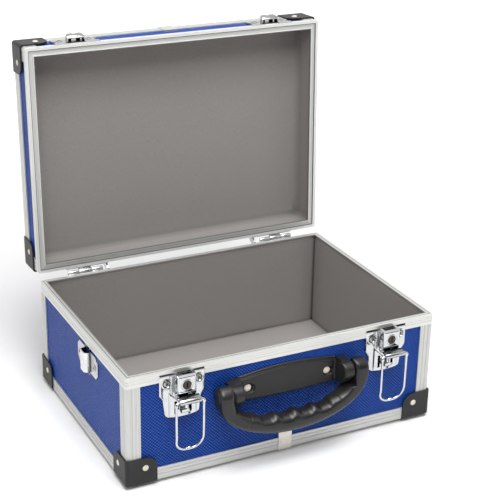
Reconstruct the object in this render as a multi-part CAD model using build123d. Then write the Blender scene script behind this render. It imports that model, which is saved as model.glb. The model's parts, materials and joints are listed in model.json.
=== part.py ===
from build123d import *
import math
import os

# An aluminium-edged case, lid open on its hinge stops. Millimetres.
# +X is the user's right, -Y is the front with the latches, +Z is up.
# Everything is first built with the lid closed and the footprint centred on X = 0, Y = 0.
# The lid group is then turned open about the hinge axis, and at the end the whole case
# slides along Y so that the origin lies under the middle of the open case.

# The shell
CASE_WIDTH = 320.0
CASE_DEPTH = 230.0
BASE_HEIGHT = 109.0
LID_HEIGHT = 37.0
FOOT_HEIGHT = 2.4
SEAM_GAP = 0.6
TRIM_WALL = 1.2
PANEL_WALL = 3.5
LINING_WALL = 1.3
ARRIS_RADIUS = 3.0
LID_OPEN_ANGLE = 92.5

# The extruded trims
BASE_RIM_BAND = 10.5
LID_RIM_BAND = 5.0
LID_RIM_WIDTH = 9.2
LID_RIM_THICK = 2.2
LID_RIM_GROOVE = 4.0
LID_RIM_GROOVE_DEPTH = 1.0
LID_RIM_GROOVE_INSET = 3.6
RIM_GROOVE_INSET = 2.4
CORNER_TRIM_LEG = 14.0
BOTTOM_TRIM_BAND = 12.0
LID_TRIM_BAND = 13.0
TRIM_WEB = 12.0
GROOVE_WIDTH = 0.8
GROOVE_DEPTH = 0.35
TRIM_JOINT = 0.4
RIM_GROOVE_SHARES = (0.38, 0.62)
TRIM_GROOVE_SHARES = (0.45, 0.75)
CORNER_GROOVE_SHARES = (0.4, 0.7)
RIM_JOINT_INSET = 47.0
LINER_CORNER = 6.0

# The corner caps and feet
CAP_LENGTH = 29.0
CAP_HEIGHT = 26.0
CAP_WALL = 1.6
CAP_ROUND = 11.0
CAP_EDGE = 3.0
CAP_RIVET_INSET = 17.5
CAP_RIVET_RISE = 16.0
FOOT_RADIUS = 7.0
FOOT_INSET = 10.0

# Tubular rivets
RIVET_HEAD_RADIUS = 3.0
RIVET_HEAD_HEIGHT = 0.9
RIVET_HEAD_ROUND = 0.6
RIVET_SHANK_RADIUS = 1.6
RIVET_GRIP = 3.0
HOLE_CLEARANCE = 0.05
RUNNING_CLEARANCE = 0.08
BODY_GAP = 0.3
PIN_PROUD = 0.5

# The trim joint clips
CLIP_WIDTH = 14.0
CLIP_RISE = 18.0
CLIP_WALL = 0.8

# The latches
LATCH_INSET = 54.0
LATCH_PLATE_WIDTH = 45.0
LATCH_PLATE_FOOT_WIDTH = 33.0
LATCH_PLATE_TOP_DROP = 3.7
LATCH_PLATE_HEIGHT = 43.0
LATCH_SHOULDER = 21.0
LATCH_PLATE_WALL = 1.0
LATCH_PLATE_ROUND = 3.0
LATCH_PAD_WIDTH = 25.0
LATCH_PAD_RISE = 1.2
LATCH_PAD_MARGIN = 2.0
LATCH_SLOT_X = 7.2
LATCH_SLOT_WIDTH = 2.0
LATCH_SLOT_LENGTH = 11.0
LATCH_SLOT_MARGIN = 3.0
LATCH_RIVET_X = 15.4
LATCH_RIVET_DROP = 12.7
LOCK_BOX_WIDTH = 18.0
LOCK_BOX_REACH = 11.0
LOCK_BOX_HEIGHT = 17.0
LOCK_BOX_TOP_DROP = 2.5
LOCK_BOX_WALL = 1.2
LOCK_BOX_BEVEL = 1.6
LOCK_BOX_ROUND = 1.0
LOCK_MOUTH_SIDE = 2.5
LOCK_RADIUS = 3.9
LOCK_DROP = 12.0
LOCK_PROUD = 0.6
LOCK_FLANGE = 1.1
KEY_SLOT_WIDTH = 1.3
KEY_SLOT_LENGTH = 5.0
KEY_SLOT_DEPTH = 3.0
LEVER_PIVOT_REACH = 7.0
LEVER_PIVOT_DROP = 22.5
LEVER_ARM = 11.0
LEVER_OPEN_ANGLE = -13.0
LEVER_CLOSED_ANGLE = -95.0
LEVER_WALL = 1.2
LEVER_PIN_RADIUS = 1.2
LEVER_KNUCKLE_RADIUS = 2.3
LEVER_EAR_WALL = 1.0
LEVER_ROLL_RADIUS = 2.6
LEVER_ROLL_LENGTH = 21.0
LEVER_NECK_GAP = 0.3
LEVER_WEB_LIFT = 0.5
LEVER_SHELF_GAP = 1.0
CATCH_WIDTH = 8.0
CATCH_RADIUS = 2.6
CATCH_WALL = 1.0
CATCH_DROP = 38.2
BAIL_WIDTH = 26.8
BAIL_LENGTH = 49.5
BAIL_WIRE_RADIUS = 1.15
BAIL_HOOK_LENGTH = 13.5
BAIL_HOOK_SET = 3.0
BAIL_CORNER = 11.0
BAIL_ELBOW = 2.0
BAIL_KNEE = 12.0
BAIL_END = 7.9
BAIL_BEAD_RADIUS = 1.8
BAIL_BEAD_LIFT = 1.0

# The keepers on the lid
KEEPER_WIDTH = 46.0
KEEPER_HEIGHT = 19.5
KEEPER_WALL = 1.0
KEEPER_HOOK_WIDTH = 18.0
KEEPER_HOOK_REACH = 8.0
KEEPER_HOOK_DEPTH = 8.2
KEEPER_HOOK_WALL = 1.1
KEEPER_RIVET_X = 15.0
KEEPER_RIVET_RISE = 13.0
KEEPER_SCALLOP = 3.2
KEEPER_SCALLOP_DROP = 1.0
KEEPER_CHAMFER = 4.0
KEEPER_LIFT = 0.5
KEEPER_HOOK_ROUND = 2.0
KEEPER_HOOK_SINK = 3.0
KEEPER_HOOK_CORNER = 3.5

# The carrying handle
HANDLE_SHARE = 0.325
HANDLE_PIVOT_DROP = 33.0
HANDLE_PLATE_RISE = 15.0
HANDLE_PLATE_END_RISE = 8.0
HANDLE_PLATE_FALL = 15.0
HANDLE_PLATE_END_FALL = 12.5
HANDLE_PLATE_WALL = 4.6
HANDLE_PLATE_BEVEL = 2.2
HANDLE_RIVET_INSET = 10.5
HANDLE_RIVET_FALL = 1.5
HANDLE_RECESS_RADIUS = 4.6
HANDLE_RECESS_DEPTH = 2.0
KNUCKLE_WIDTH = 10.5
KNUCKLE_RADIUS = 8.0
KNUCKLE_REACH = 13.0
KNUCKLE_SLOPE = 37.0
HANDLE_PIVOT_REACH = 12.0
HANDLE_PIN_RADIUS = 2.5
HANDLE_PIN_INSET = 0.5
HANDLE_BORE_SHARE = 0.6
GRIP_LOBE_WIDTH = 14.5
GRIP_LOBE_RADIUS = 10.4
GRIP_GAP = 0.4
GRIP_REACH = 15.0
GRIP_DROP = 36.4
GRIP_DEPTH = 20.0
GRIP_THICKNESS = 20.8
GRIP_SQUARENESS = 2.3
GRIP_BELLY = 7
GRIP_STATIONS = 12
GRIP_UNDER_KNUCKLE = 13.7
GRIP_EDGE = 5.5
FINGER_PITCH = 20.8
FINGER_COUNT = 4
FINGER_RADIUS = 18.0
FINGER_DEPTH = 2.4
HANDLE_SWING = 95.0

# The strap brackets on the sides
BRACKET_Y = -20.0
BRACKET_CLEARANCE = 0.2
BRACKET_WIDTH = 52.0
BRACKET_EAR_HEIGHT = 22.0
BRACKET_TONGUE_WIDTH = 15.0
BRACKET_TONGUE_HEIGHT = 29.0
BRACKET_WALL = 1.2
BRACKET_CHAMFER = 5.0
BRACKET_ROUND = 4.0
BRACKET_WINDOW_MARGIN = 2.0
BRACKET_RIVET_SPACING = 38.6
BRIDGE_WIDTH = 14.0
BRIDGE_HEIGHT = 20.0
BRIDGE_REACH = 7.0
BRIDGE_WALL = 1.3

# The hinges
HINGE_INSET = 50.0
HINGE_OFFSET = 4.7
HINGE_BARREL_RADIUS = 2.3
HINGE_BARREL_LENGTH = 37.0
HINGE_MIDDLE_KNUCKLE = 13.4
HINGE_PIN_RADIUS = 1.2
HINGE_INNER_MARGIN = 7.5
HINGE_OUTER_MARGIN = 1.5
HINGE_BASE_LEAF = 21.0
HINGE_LID_LEAF = 20.0
HINGE_LEAF_WALL = 1.2
HINGE_LEAF_GAP = 1.2
HINGE_WEB_NEAR = 1.4
HINGE_WEB_FAR = 1.0
HINGE_WEB_ROOT = 3.6
HINGE_RIVET_X = 17.0
HINGE_RIVET_DROP = 14.0
STOP_LUG_WIDTH = 2.0
STOP_LUG_REACH = 14.0
STOP_LUG_NEAR = 5.0
STOP_LUG_DROP = 12.0
STOP_LUG_TIP = 2.5
STOP_LUG_GAP = 1.5

# Worked out from the sizes above
SHELL_Z = FOOT_HEIGHT + CAP_WALL
SEAM_Z = SHELL_Z + BASE_HEIGHT
BASE_TOP = SEAM_Z - SEAM_GAP / 2
LID_LOW = SEAM_Z + SEAM_GAP / 2
LID_TOP = SEAM_Z + LID_HEIGHT
HALF_W = CASE_WIDTH / 2
HALF_D = CASE_DEPTH / 2
SKIN_W = HALF_W - TRIM_WALL
SKIN_D = HALF_D - TRIM_WALL
CORE_W = SKIN_W - PANEL_WALL
CORE_D = SKIN_D - PANEL_WALL
ROOM_W = CORE_W - LINING_WALL
ROOM_D = CORE_D - LINING_WALL
BASE_PANEL_TOP = BASE_TOP - TRIM_WALL
BASE_RIM_LOW = BASE_TOP - BASE_RIM_BAND
LID_PANEL_LOW = LID_LOW + LID_RIM_THICK
LID_RIM_TOP = LID_LOW + LID_RIM_BAND
LID_TRIM_LOW = LID_TOP - LID_TRIM_BAND
BASE_TRIM_TOP = SHELL_Z + BOTTOM_TRIM_BAND
BASE_FLOOR_TOP = SHELL_Z + TRIM_WALL + PANEL_WALL + LINING_WALL
LID_CEILING = LID_TOP - TRIM_WALL - PANEL_WALL - LINING_WALL
HINGE_AXIS_Y = HALF_D + HINGE_OFFSET
RIM_JOINT_X = HALF_W - RIM_JOINT_INSET
LATCH_X = HALF_W - LATCH_INSET
HINGE_X = HALF_W - HINGE_INSET
BRACKET_Z = BASE_RIM_LOW - BRACKET_TONGUE_HEIGHT / 2 - BRACKET_CLEARANCE
LEVER_PIVOT_Z = SEAM_Z - LEVER_PIVOT_DROP
LEVER_PIVOT_Y = -HALF_D - LEVER_PIVOT_REACH
LEVER_SWING = LEVER_OPEN_ANGLE - LEVER_CLOSED_ANGLE
BAIL_Y = LEVER_PIVOT_Y - LEVER_ARM * math.cos(math.radians(LEVER_OPEN_ANGLE))
BAIL_Z = LEVER_PIVOT_Z + LEVER_ARM * math.sin(math.radians(LEVER_OPEN_ANGLE))
BAIL_LEAN = math.degrees(math.atan2(BAIL_HOOK_SET, BAIL_LENGTH))
BAIL_SWING = 180 + BAIL_LEAN + LEVER_SWING
BAIL_CLOSED_Z = LEVER_PIVOT_Z + LEVER_ARM * math.sin(math.radians(LEVER_CLOSED_ANGLE))
BAIL_HOOKED_Z = BAIL_CLOSED_Z + math.hypot(BAIL_LENGTH, BAIL_HOOK_SET)
KEEPER_HOOK_TOP = BAIL_HOOKED_Z - BAIL_WIRE_RADIUS - BODY_GAP
HANDLE_PIVOT_Y = -HALF_D - HANDLE_PIVOT_REACH
HANDLE_PIVOT_Z = SEAM_Z - HANDLE_PIVOT_DROP
HANDLE_PLATE_WIDTH = CASE_WIDTH * HANDLE_SHARE
HANDLE_PLATE_TOP = HANDLE_PIVOT_Z + HANDLE_PLATE_RISE
HANDLE_PLATE_END_TOP = HANDLE_PIVOT_Z + HANDLE_PLATE_END_RISE
HANDLE_PLATE_BOTTOM = HANDLE_PIVOT_Z - HANDLE_PLATE_FALL
HANDLE_PLATE_END_BOTTOM = HANDLE_PIVOT_Z - HANDLE_PLATE_END_FALL
HANDLE_RIVET_X = HANDLE_PLATE_WIDTH / 2 - HANDLE_RIVET_INSET
HANDLE_RIVET_Z = HANDLE_PIVOT_Z - HANDLE_RIVET_FALL

# How something that points up is turned to point along each side of the case
TOWARD = {"-Y": Rot(90, 0, 0), "+Y": Rot(-90, 0, 0), "-X": Rot(0, -90, 0), "+X": Rot(0, 90, 0)}

bodies = {"base": {}, "lid": {}, "handle": {}}


def box(x0, x1, y0, y1, z0, z1):
    """A box from its low and high corners."""
    middle = Pos((x0 + x1) / 2, (y0 + y1) / 2, (z0 + z1) / 2)
    return middle * Box(x1 - x0, y1 - y0, z1 - z0)


def rod(axis, radius, start, end, across):
    """A cylinder along X, Y or Z from start to end, across being its two other coordinates in order."""
    length = end - start
    middle = (start + end) / 2
    if axis == "X":
        return Pos(middle, *across) * Rot(0, 90, 0) * Cylinder(radius, length)
    if axis == "Y":
        return Pos(across[0], middle, across[1]) * Rot(90, 0, 0) * Cylinder(radius, length)
    return Pos(*across, middle) * Cylinder(radius, length)


def front_slab(sketch, near, far):
    """A sketch of X and Z, made solid from the depth near to the depth far along -Y."""
    return Pos(0, -near, 0) * extrude(Plane.XZ * sketch, far - near, dir=(0, -1, 0))


def side_slab(sketch, x0, x1):
    """A sketch of Y and Z, made solid from x0 to x1."""
    return Pos(x0, 0, 0) * extrude(Plane.YZ * sketch, x1 - x0, dir=(1, 0, 0))


def plinth(half_w, half_d, z0, z1, radius=0.0):
    """An upright block about the middle of the case, its four upright edges rounded."""
    if radius > 0:
        outline = RectangleRounded(2 * half_w, 2 * half_d, radius)
    else:
        outline = Rectangle(2 * half_w, 2 * half_d)
    return Pos(0, 0, z0) * extrude(outline, z1 - z0)


def ring(half_w, half_d, wall, z0, z1, radius=0.0):
    """A rectangular hoop of one wall, rounded outside and square inside."""
    outer = plinth(half_w, half_d, z0, z1, radius)
    return outer - plinth(half_w - wall, half_d - wall, z0 - 1, z1 + 1)


def face_groove(z):
    """The cutter for a fine groove that runs round the outside at one height."""
    outer = plinth(HALF_W + 1, HALF_D + 1, z - GROOVE_WIDTH / 2, z + GROOVE_WIDTH / 2)
    inner_w = HALF_W - GROOVE_DEPTH
    inner_d = HALF_D - GROOVE_DEPTH
    return outer - plinth(inner_w, inner_d, z - 1, z + 1, ARRIS_RADIUS)


def flat_groove(inset, width, z0, z1):
    """The cutter for a groove that runs round a flat face, inset from the outside."""
    return ring(HALF_W - inset, HALF_D - inset, width, z0, z1)


def rivet(direction, at):
    """A rivet whose head sits on the point at, its shank going in against direction, +-X or +-Y."""
    head = Cylinder(RIVET_HEAD_RADIUS, RIVET_HEAD_HEIGHT, align=(Align.CENTER, Align.CENTER, Align.MIN))
    head = fillet(head.edges().sort_by(Axis.Z)[-1], RIVET_HEAD_ROUND)
    shank = Cylinder(RIVET_SHANK_RADIUS, RIVET_GRIP, align=(Align.CENTER, Align.CENTER, Align.MAX))
    return Pos(*at) * TOWARD[direction] * (head + shank)


def rivet_hole(direction, at):
    """The cutter for that rivet's shank, one hole clearance larger and a little deeper."""
    radius = RIVET_SHANK_RADIUS + HOLE_CLEARANCE
    deep = RIVET_GRIP + HOLE_CLEARANCE
    hole = Pos(0, 0, 1) * Cylinder(radius, deep + 1, align=(Align.CENTER, Align.CENTER, Align.MAX))
    return Pos(*at) * TOWARD[direction] * hole


def drill(body, names, places):
    """Cuts the holes of the rivets at these places out of the named nodes of a body."""
    for name in names:
        for direction, at in places:
            bodies[body][name] = bodies[body][name] - rivet_hole(direction, at)


def group(shapes):
    """Separate solids that share one node."""
    solids = []
    for shape in shapes:
        solids += shape.solids()
    return Compound(children=solids)


def mirrored_x(shape):
    """The same shape on the other side of the YZ plane."""
    return mirror(shape, about=Plane.YZ)


def make_shell(body, low, high, floor_z, room_z):
    """The five boards of one half: four walls from low to high, and its floor or top board."""
    nodes = bodies[body]
    nodes[f"{body}_panel_front"] = box(-SKIN_W, SKIN_W, -SKIN_D, -CORE_D, low, high)
    nodes[f"{body}_panel_rear"] = box(-SKIN_W, SKIN_W, CORE_D, SKIN_D, low, high)
    nodes[f"{body}_panel_left"] = box(-SKIN_W, -CORE_W, -CORE_D, CORE_D, low, high)
    nodes[f"{body}_panel_right"] = box(CORE_W, SKIN_W, -CORE_D, CORE_D, low, high)
    name = "base_panel_bottom" if body == "base" else "lid_panel_top"
    nodes[name] = box(-CORE_W, CORE_W, -CORE_D, CORE_D, min(floor_z, room_z), max(floor_z, room_z))


def make_boards():
    base_under = SHELL_Z + TRIM_WALL
    lid_over = LID_TOP - TRIM_WALL
    make_shell("base", base_under, BASE_PANEL_TOP, base_under, base_under + PANEL_WALL)
    make_shell("lid", LID_PANEL_LOW, lid_over, lid_over, lid_over - PANEL_WALL)


def make_linings():
    """The base has a wall lining round a floor sheet, the lid a moulded tray with round corners."""
    board_top = SHELL_Z + TRIM_WALL + PANEL_WALL
    walls = ring(CORE_W, CORE_D, LINING_WALL, board_top, BASE_PANEL_TOP)
    bodies["base"]["base_wall_lining"] = walls
    bodies["base"]["base_floor_lining"] = plinth(ROOM_W, ROOM_D, board_top, BASE_FLOOR_TOP)
    tray = plinth(CORE_W, CORE_D, LID_PANEL_LOW, LID_CEILING + LINING_WALL)
    room = plinth(ROOM_W, ROOM_D, LID_PANEL_LOW - 1, LID_CEILING, LINER_CORNER)
    bodies["lid"]["lid_liner_tray"] = tray - room


def make_rims():
    """The rims that meet at the seam, each one profile bent round the case and butted at the rear."""
    band = ring(HALF_W, HALF_D, TRIM_WALL, BASE_RIM_LOW, BASE_TOP, ARRIS_RADIUS)
    web = ring(HALF_W, HALF_D, HALF_W - ROOM_W, BASE_PANEL_TOP, BASE_TOP, ARRIS_RADIUS)
    rim = band + web
    rim -= flat_groove(RIM_GROOVE_INSET, GROOVE_WIDTH, BASE_TOP - GROOVE_DEPTH, BASE_TOP + 1)
    for share in RIM_GROOVE_SHARES:
        rim -= face_groove(BASE_RIM_LOW + BASE_RIM_BAND * share)
    half = TRIM_JOINT / 2
    rim -= box(RIM_JOINT_X - half, RIM_JOINT_X + half, ROOM_D - 1, HALF_D + 1, BASE_RIM_LOW - 1, BASE_TOP + 1)
    bodies["base"]["base_rim"] = rim

    band = ring(HALF_W, HALF_D, TRIM_WALL, LID_LOW, LID_RIM_TOP, ARRIS_RADIUS)
    web = ring(HALF_W, HALF_D, LID_RIM_WIDTH, LID_LOW, LID_PANEL_LOW, ARRIS_RADIUS)
    rim = band + web
    groove_top = LID_LOW + LID_RIM_GROOVE_DEPTH
    rim -= flat_groove(LID_RIM_GROOVE_INSET, LID_RIM_GROOVE, LID_LOW - 1, groove_top)
    joint = box(-half, half, HALF_D - LID_RIM_WIDTH - 1, HALF_D + 1, LID_LOW - 1, LID_RIM_TOP + 1)
    rim -= Pos(-RIM_JOINT_X, 0, 0) * joint
    bodies["lid"]["lid_rim"] = rim


def make_edge_trims():
    """The angle trims that run round under the base and over the lid, butted at the front."""
    web = ring(HALF_W, HALF_D, TRIM_WEB, SHELL_Z, SHELL_Z + TRIM_WALL, ARRIS_RADIUS)
    trim = web + ring(HALF_W, HALF_D, TRIM_WALL, SHELL_Z, BASE_TRIM_TOP, ARRIS_RADIUS)
    for share in TRIM_GROOVE_SHARES:
        trim -= face_groove(SHELL_Z + BOTTOM_TRIM_BAND * share)
    half = TRIM_JOINT / 2
    joint = box(-half, half, -HALF_D - 1, -HALF_D + TRIM_WEB + 1, SHELL_Z - 1, BASE_TRIM_TOP + 1)
    bodies["base"]["base_bottom_trim"] = trim - joint

    web = ring(HALF_W, HALF_D, TRIM_WEB, LID_TOP - TRIM_WALL, LID_TOP, ARRIS_RADIUS)
    trim = web + ring(HALF_W, HALF_D, TRIM_WALL, LID_TRIM_LOW, LID_TOP, ARRIS_RADIUS)
    for share in TRIM_GROOVE_SHARES:
        trim -= face_groove(LID_TOP - LID_TRIM_BAND * share)
    joint = box(-half, half, -HALF_D - 1, -HALF_D + TRIM_WEB + 1, LID_TRIM_LOW - 1, LID_TOP + 1)
    bodies["lid"]["lid_top_trim"] = trim - joint


def corner_trims(z0, z1):
    """The four upright angles at the corners of one half, with two grooves down each leg."""
    hoop = ring(HALF_W, HALF_D, TRIM_WALL, z0, z1, ARRIS_RADIUS)
    groove = GROOVE_WIDTH / 2
    pieces = []
    for x_side in (-1, 1):
        for y_side in (-1, 1):
            x0, x1 = sorted((x_side * (HALF_W + 1), x_side * (HALF_W - CORNER_TRIM_LEG)))
            y0, y1 = sorted((y_side * (HALF_D + 1), y_side * (HALF_D - CORNER_TRIM_LEG)))
            angle = hoop & box(x0, x1, y0, y1, z0, z1)
            for share in CORNER_GROOVE_SHARES:
                x = x_side * (HALF_W - CORNER_TRIM_LEG * share)
                y = y_side * (HALF_D - CORNER_TRIM_LEG * share)
                y_face = y_side * HALF_D
                x_face = x_side * HALF_W
                deep = GROOVE_DEPTH
                angle -= box(x - groove, x + groove, y_face - deep, y_face + deep, z0 - 1, z1 + 1)
                angle -= box(x_face - deep, x_face + deep, y - groove, y + groove, z0 - 1, z1 + 1)
            pieces.append(angle)
    return group(pieces)


def make_corner_trims():
    bodies["base"]["base_corner_trims"] = corner_trims(BASE_TRIM_TOP, BASE_RIM_LOW)
    bodies["lid"]["lid_corner_trims"] = corner_trims(LID_RIM_TOP, LID_TRIM_LOW)


def corner_cap():
    """The cap of the right front bottom corner: three rounded plates that meet at the corner."""
    reach = CAP_LENGTH + CAP_WALL
    tall = CAP_HEIGHT + CAP_WALL
    low = SHELL_Z - CAP_WALL
    x_in = HALF_W - CAP_LENGTH
    y_in = -HALF_D + CAP_LENGTH
    block = box(x_in, HALF_W + CAP_WALL, -HALF_D - CAP_WALL, y_in, low, low + tall)
    upright = block.edges().filter_by(Axis.Z).group_by(Axis.X)[-1].sort_by(Axis.Y)[0]
    block = fillet(upright, CAP_EDGE)
    under_edges = block.edges().group_by(Axis.Z)[0]
    outer = [e for e in under_edges if e.center().X > x_in + 1 and e.center().Y < y_in - 1]
    block = fillet(outer, CAP_EDGE)
    shell = block - box(x_in - 1, HALF_W, -HALF_D, y_in + 1, SHELL_Z, low + tall + 1)
    x_mid = HALF_W + CAP_WALL - reach / 2
    y_mid = -HALF_D - CAP_WALL + reach / 2
    z_mid = low + tall / 2
    front = Pos(x_mid, z_mid) * Rectangle(reach, tall)
    front = fillet(front.vertices().sort_by(Axis.X)[:2].sort_by(Axis.Y)[-1], CAP_ROUND)
    side = Pos(y_mid, z_mid) * Rectangle(reach, tall)
    side = fillet(side.vertices().sort_by(Axis.X)[-2:].sort_by(Axis.Y)[-1], CAP_ROUND)
    under = Pos(x_mid, y_mid) * Rectangle(reach, reach)
    under = fillet(under.vertices().sort_by(Axis.X)[:2].sort_by(Axis.Y)[-1], CAP_ROUND)
    shell &= front_slab(front, HALF_D - reach, HALF_D + reach)
    shell &= side_slab(side, x_in - 1, HALF_W + reach)
    shell &= Pos(0, 0, low - 1) * extrude(under, tall + 2)
    return shell


def cap_rivet_places(z):
    """Where a half's caps are riveted, one rivet in each upright plate."""
    places = []
    for x_side in (-1, 1):
        for y_side in (-1, 1):
            x = x_side * (HALF_W - CAP_RIVET_INSET)
            y = y_side * (HALF_D - CAP_RIVET_INSET)
            toward_y = "-Y" if y_side < 0 else "+Y"
            toward_x = "-X" if x_side < 0 else "+X"
            places.append((toward_y, (x, y_side * (HALF_D + CAP_WALL), z)))
            places.append((toward_x, (x_side * (HALF_W + CAP_WALL), y, z)))
    return places


def make_caps():
    """Eight equal caps, and the rivets that hold them."""
    cap = corner_cap()
    rise = Pos(0, 0, SHELL_Z + LID_TOP)
    names = []
    for body in ("base", "lid"):
        for y_name in ("front", "rear"):
            for x_name in ("left", "right"):
                piece = cap if x_name == "right" else mirrored_x(cap)
                if y_name == "rear":
                    piece = mirror(piece, about=Plane.XZ)
                if body == "lid":
                    piece = rise * mirror(piece, about=Plane.XY)
                name = f"{body}_cap_{y_name}_{x_name}"
                bodies[body][name] = piece
                names.append(name)
    for body, z in (("base", SHELL_Z + CAP_RIVET_RISE), ("lid", LID_TOP - CAP_RIVET_RISE)):
        places = cap_rivet_places(z)
        walls = [f"{body}_panel_{side}" for side in ("front", "rear", "left", "right")]
        drill(body, [name for name in names if name.startswith(body)] + walls, places)
        bodies[body][f"{body}_cap_rivets"] = group([rivet(*place) for place in places])


def make_feet():
    feet = []
    for x_side in (-1, 1):
        for y_side in (-1, 1):
            at = (x_side * (HALF_W - FOOT_INSET), y_side * (HALF_D - FOOT_INSET))
            foot = rod("Z", FOOT_RADIUS, 0, FOOT_HEIGHT, at)
            feet.append(fillet(foot.edges().sort_by(Axis.Z)[0], FOOT_HEIGHT / 3))
    bodies["base"]["feet"] = group(feet)


def make_clips():
    """The folded clips over the front butt joints of the two edge trims."""
    half = CLIP_WIDTH / 2
    face = -HALF_D - CLIP_WALL
    fold = -HALF_D + TRIM_WEB
    top = SHELL_Z + CLIP_RISE
    clip = box(-half, half, face, -HALF_D, SHELL_Z - CLIP_WALL, top)
    clip += box(-half, half, -HALF_D, -SKIN_D, BASE_TRIM_TOP, top)
    clip += box(-half, half, face, fold, SHELL_Z - CLIP_WALL, SHELL_Z)
    bodies["base"]["base_trim_clip"] = clip

    low = LID_TOP - CLIP_RISE
    clip = box(-half, half, face, -HALF_D, low, LID_TOP + CLIP_WALL)
    clip += box(-half, half, -HALF_D, -SKIN_D, low, LID_TRIM_LOW)
    clip += box(-half, half, face, fold, LID_TOP, LID_TOP + CLIP_WALL)
    bodies["lid"]["lid_trim_clip"] = clip


def latch_plate(x_mid):
    """A stamped plate: square shoulders over a narrower foot, a raised pad, two lanced slots, a catch."""
    top = SEAM_Z - LATCH_PLATE_TOP_DROP
    foot = top - LATCH_PLATE_HEIGHT
    shoulder = top - LATCH_SHOULDER
    half = LATCH_PLATE_WIDTH / 2
    narrow = LATCH_PLATE_FOOT_WIDTH / 2
    taper = half - narrow
    outline = Polygon(
        (-half, top),
        (half, top),
        (half, shoulder),
        (narrow, shoulder - taper),
        (narrow, foot),
        (-narrow, foot),
        (-narrow, shoulder - taper),
        (-half, shoulder),
        align=None,
    )
    bottom = outline.vertices().sort_by(Axis.Y)[:2]
    outline = fillet(bottom, LATCH_PLATE_ROUND)
    plate = front_slab(outline, HALF_D, HALF_D + LATCH_PLATE_WALL)
    backing = outline & (Pos(0, foot) * Rectangle(2 * half, 2 * (BASE_RIM_LOW - foot)))
    plate += front_slab(backing, SKIN_D, HALF_D)
    pad_top = shoulder - LATCH_PAD_MARGIN
    pad_low = foot + LATCH_PAD_MARGIN
    pad = RectangleRounded(LATCH_PAD_WIDTH, pad_top - pad_low, LATCH_PLATE_ROUND)
    pad = Pos(0, (pad_top + pad_low) / 2) * pad
    reach = HALF_D + LATCH_PLATE_WALL + LATCH_PAD_RISE
    plate += front_slab(pad, HALF_D, reach)
    slot_low = foot + LATCH_SLOT_MARGIN
    for side in (-1, 1):
        x = side * LATCH_SLOT_X
        slot = box(
            x - LATCH_SLOT_WIDTH / 2,
            x + LATCH_SLOT_WIDTH / 2,
            -reach - 1,
            -SKIN_D + 1,
            slot_low,
            slot_low + LATCH_SLOT_LENGTH,
        )
        plate -= slot
    catch_z = SEAM_Z - CATCH_DROP
    stem = box(
        -CATCH_WIDTH / 2,
        CATCH_WIDTH / 2,
        -reach - CATCH_WALL,
        -reach,
        catch_z - CATCH_RADIUS - CATCH_WALL / 2,
        catch_z,
    )
    return Pos(x_mid, 0, 0) * (plate + stem + catch_curl(reach, catch_z))


def catch_curl(reach, z):
    """The catch's half-round curl, which turns from the stem outward and up."""
    outer = CATCH_RADIUS + CATCH_WALL / 2
    inner = CATCH_RADIUS - CATCH_WALL / 2
    centre = (-reach - outer, z - CATCH_RADIUS / 2)
    half = CATCH_WIDTH / 2
    tube = rod("X", outer, -half, half, centre) - rod("X", inner, -half - 1, half + 1, centre)
    low = box(-half, half, centre[0] - outer, centre[0] + outer, centre[1] - outer, centre[1])
    return tube & low


def lock_box():
    """The raised lock housing: a front wall between two cheeks that reach down to hold the lever's pin."""
    half = LOCK_BOX_WIDTH / 2
    wall = LOCK_BOX_WALL
    top = SEAM_Z - LOCK_BOX_TOP_DROP
    low = top - LOCK_BOX_HEIGHT
    face = -HALF_D - LOCK_BOX_REACH
    back = -HALF_D - LATCH_PLATE_WALL
    outer = box(-half, half, face, back, low, top)
    top_edge = outer.edges().group_by(Axis.Y)[0].sort_by(Axis.Z)[-1]
    outer = chamfer(top_edge, LOCK_BOX_BEVEL)
    upright = outer.edges().filter_by(Axis.Z).group_by(Axis.Y)[0]
    outer = fillet(upright, LOCK_BOX_ROUND)
    housing = outer - box(-half + wall, half - wall, face + wall, back + 1, low - 1, top - wall)
    mouth_half = half - LOCK_MOUTH_SIDE
    housing -= box(-mouth_half, mouth_half, face + 2 * wall, back + 1, top - wall - 1, top + 1)
    ear_radius = LEVER_KNUCKLE_RADIUS + LEVER_EAR_WALL
    for side in (-1, 1):
        x0, x1 = sorted((side * half, side * (half - wall)))
        ear = rod("X", ear_radius, x0, x1, (LEVER_PIVOT_Y, LEVER_PIVOT_Z))
        ear += box(x0, x1, LEVER_PIVOT_Y - ear_radius, back, LEVER_PIVOT_Z, low + wall)
        housing += ear
    hole_radius = LOCK_RADIUS + RUNNING_CLEARANCE
    housing -= rod("Y", hole_radius, face - 1, face + wall + 1, (0, SEAM_Z - LOCK_DROP))
    pin_hole = LEVER_PIN_RADIUS + HOLE_CLEARANCE
    housing -= rod("X", pin_hole, -half - 1, half + 1, (LEVER_PIVOT_Y, LEVER_PIVOT_Z))
    return housing


def lock_cylinder():
    """The key cylinder in its hole, with a shoulder behind the front wall and a key slot."""
    face = -HALF_D - LOCK_BOX_REACH
    z = SEAM_Z - LOCK_DROP
    inner_wall = face + LOCK_BOX_WALL
    back = -HALF_D - LATCH_PLATE_WALL - BODY_GAP
    plug = rod("Y", LOCK_RADIUS, face - LOCK_PROUD, back, (0, z))
    plug += rod("Y", LOCK_RADIUS + LOCK_FLANGE, inner_wall + BODY_GAP, back, (0, z))
    slot = box(
        -KEY_SLOT_WIDTH / 2,
        KEY_SLOT_WIDTH / 2,
        face - LOCK_PROUD - 1,
        face + KEY_SLOT_DEPTH,
        z - KEY_SLOT_LENGTH / 2,
        z + KEY_SLOT_LENGTH / 2,
    )
    return plug - slot


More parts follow.
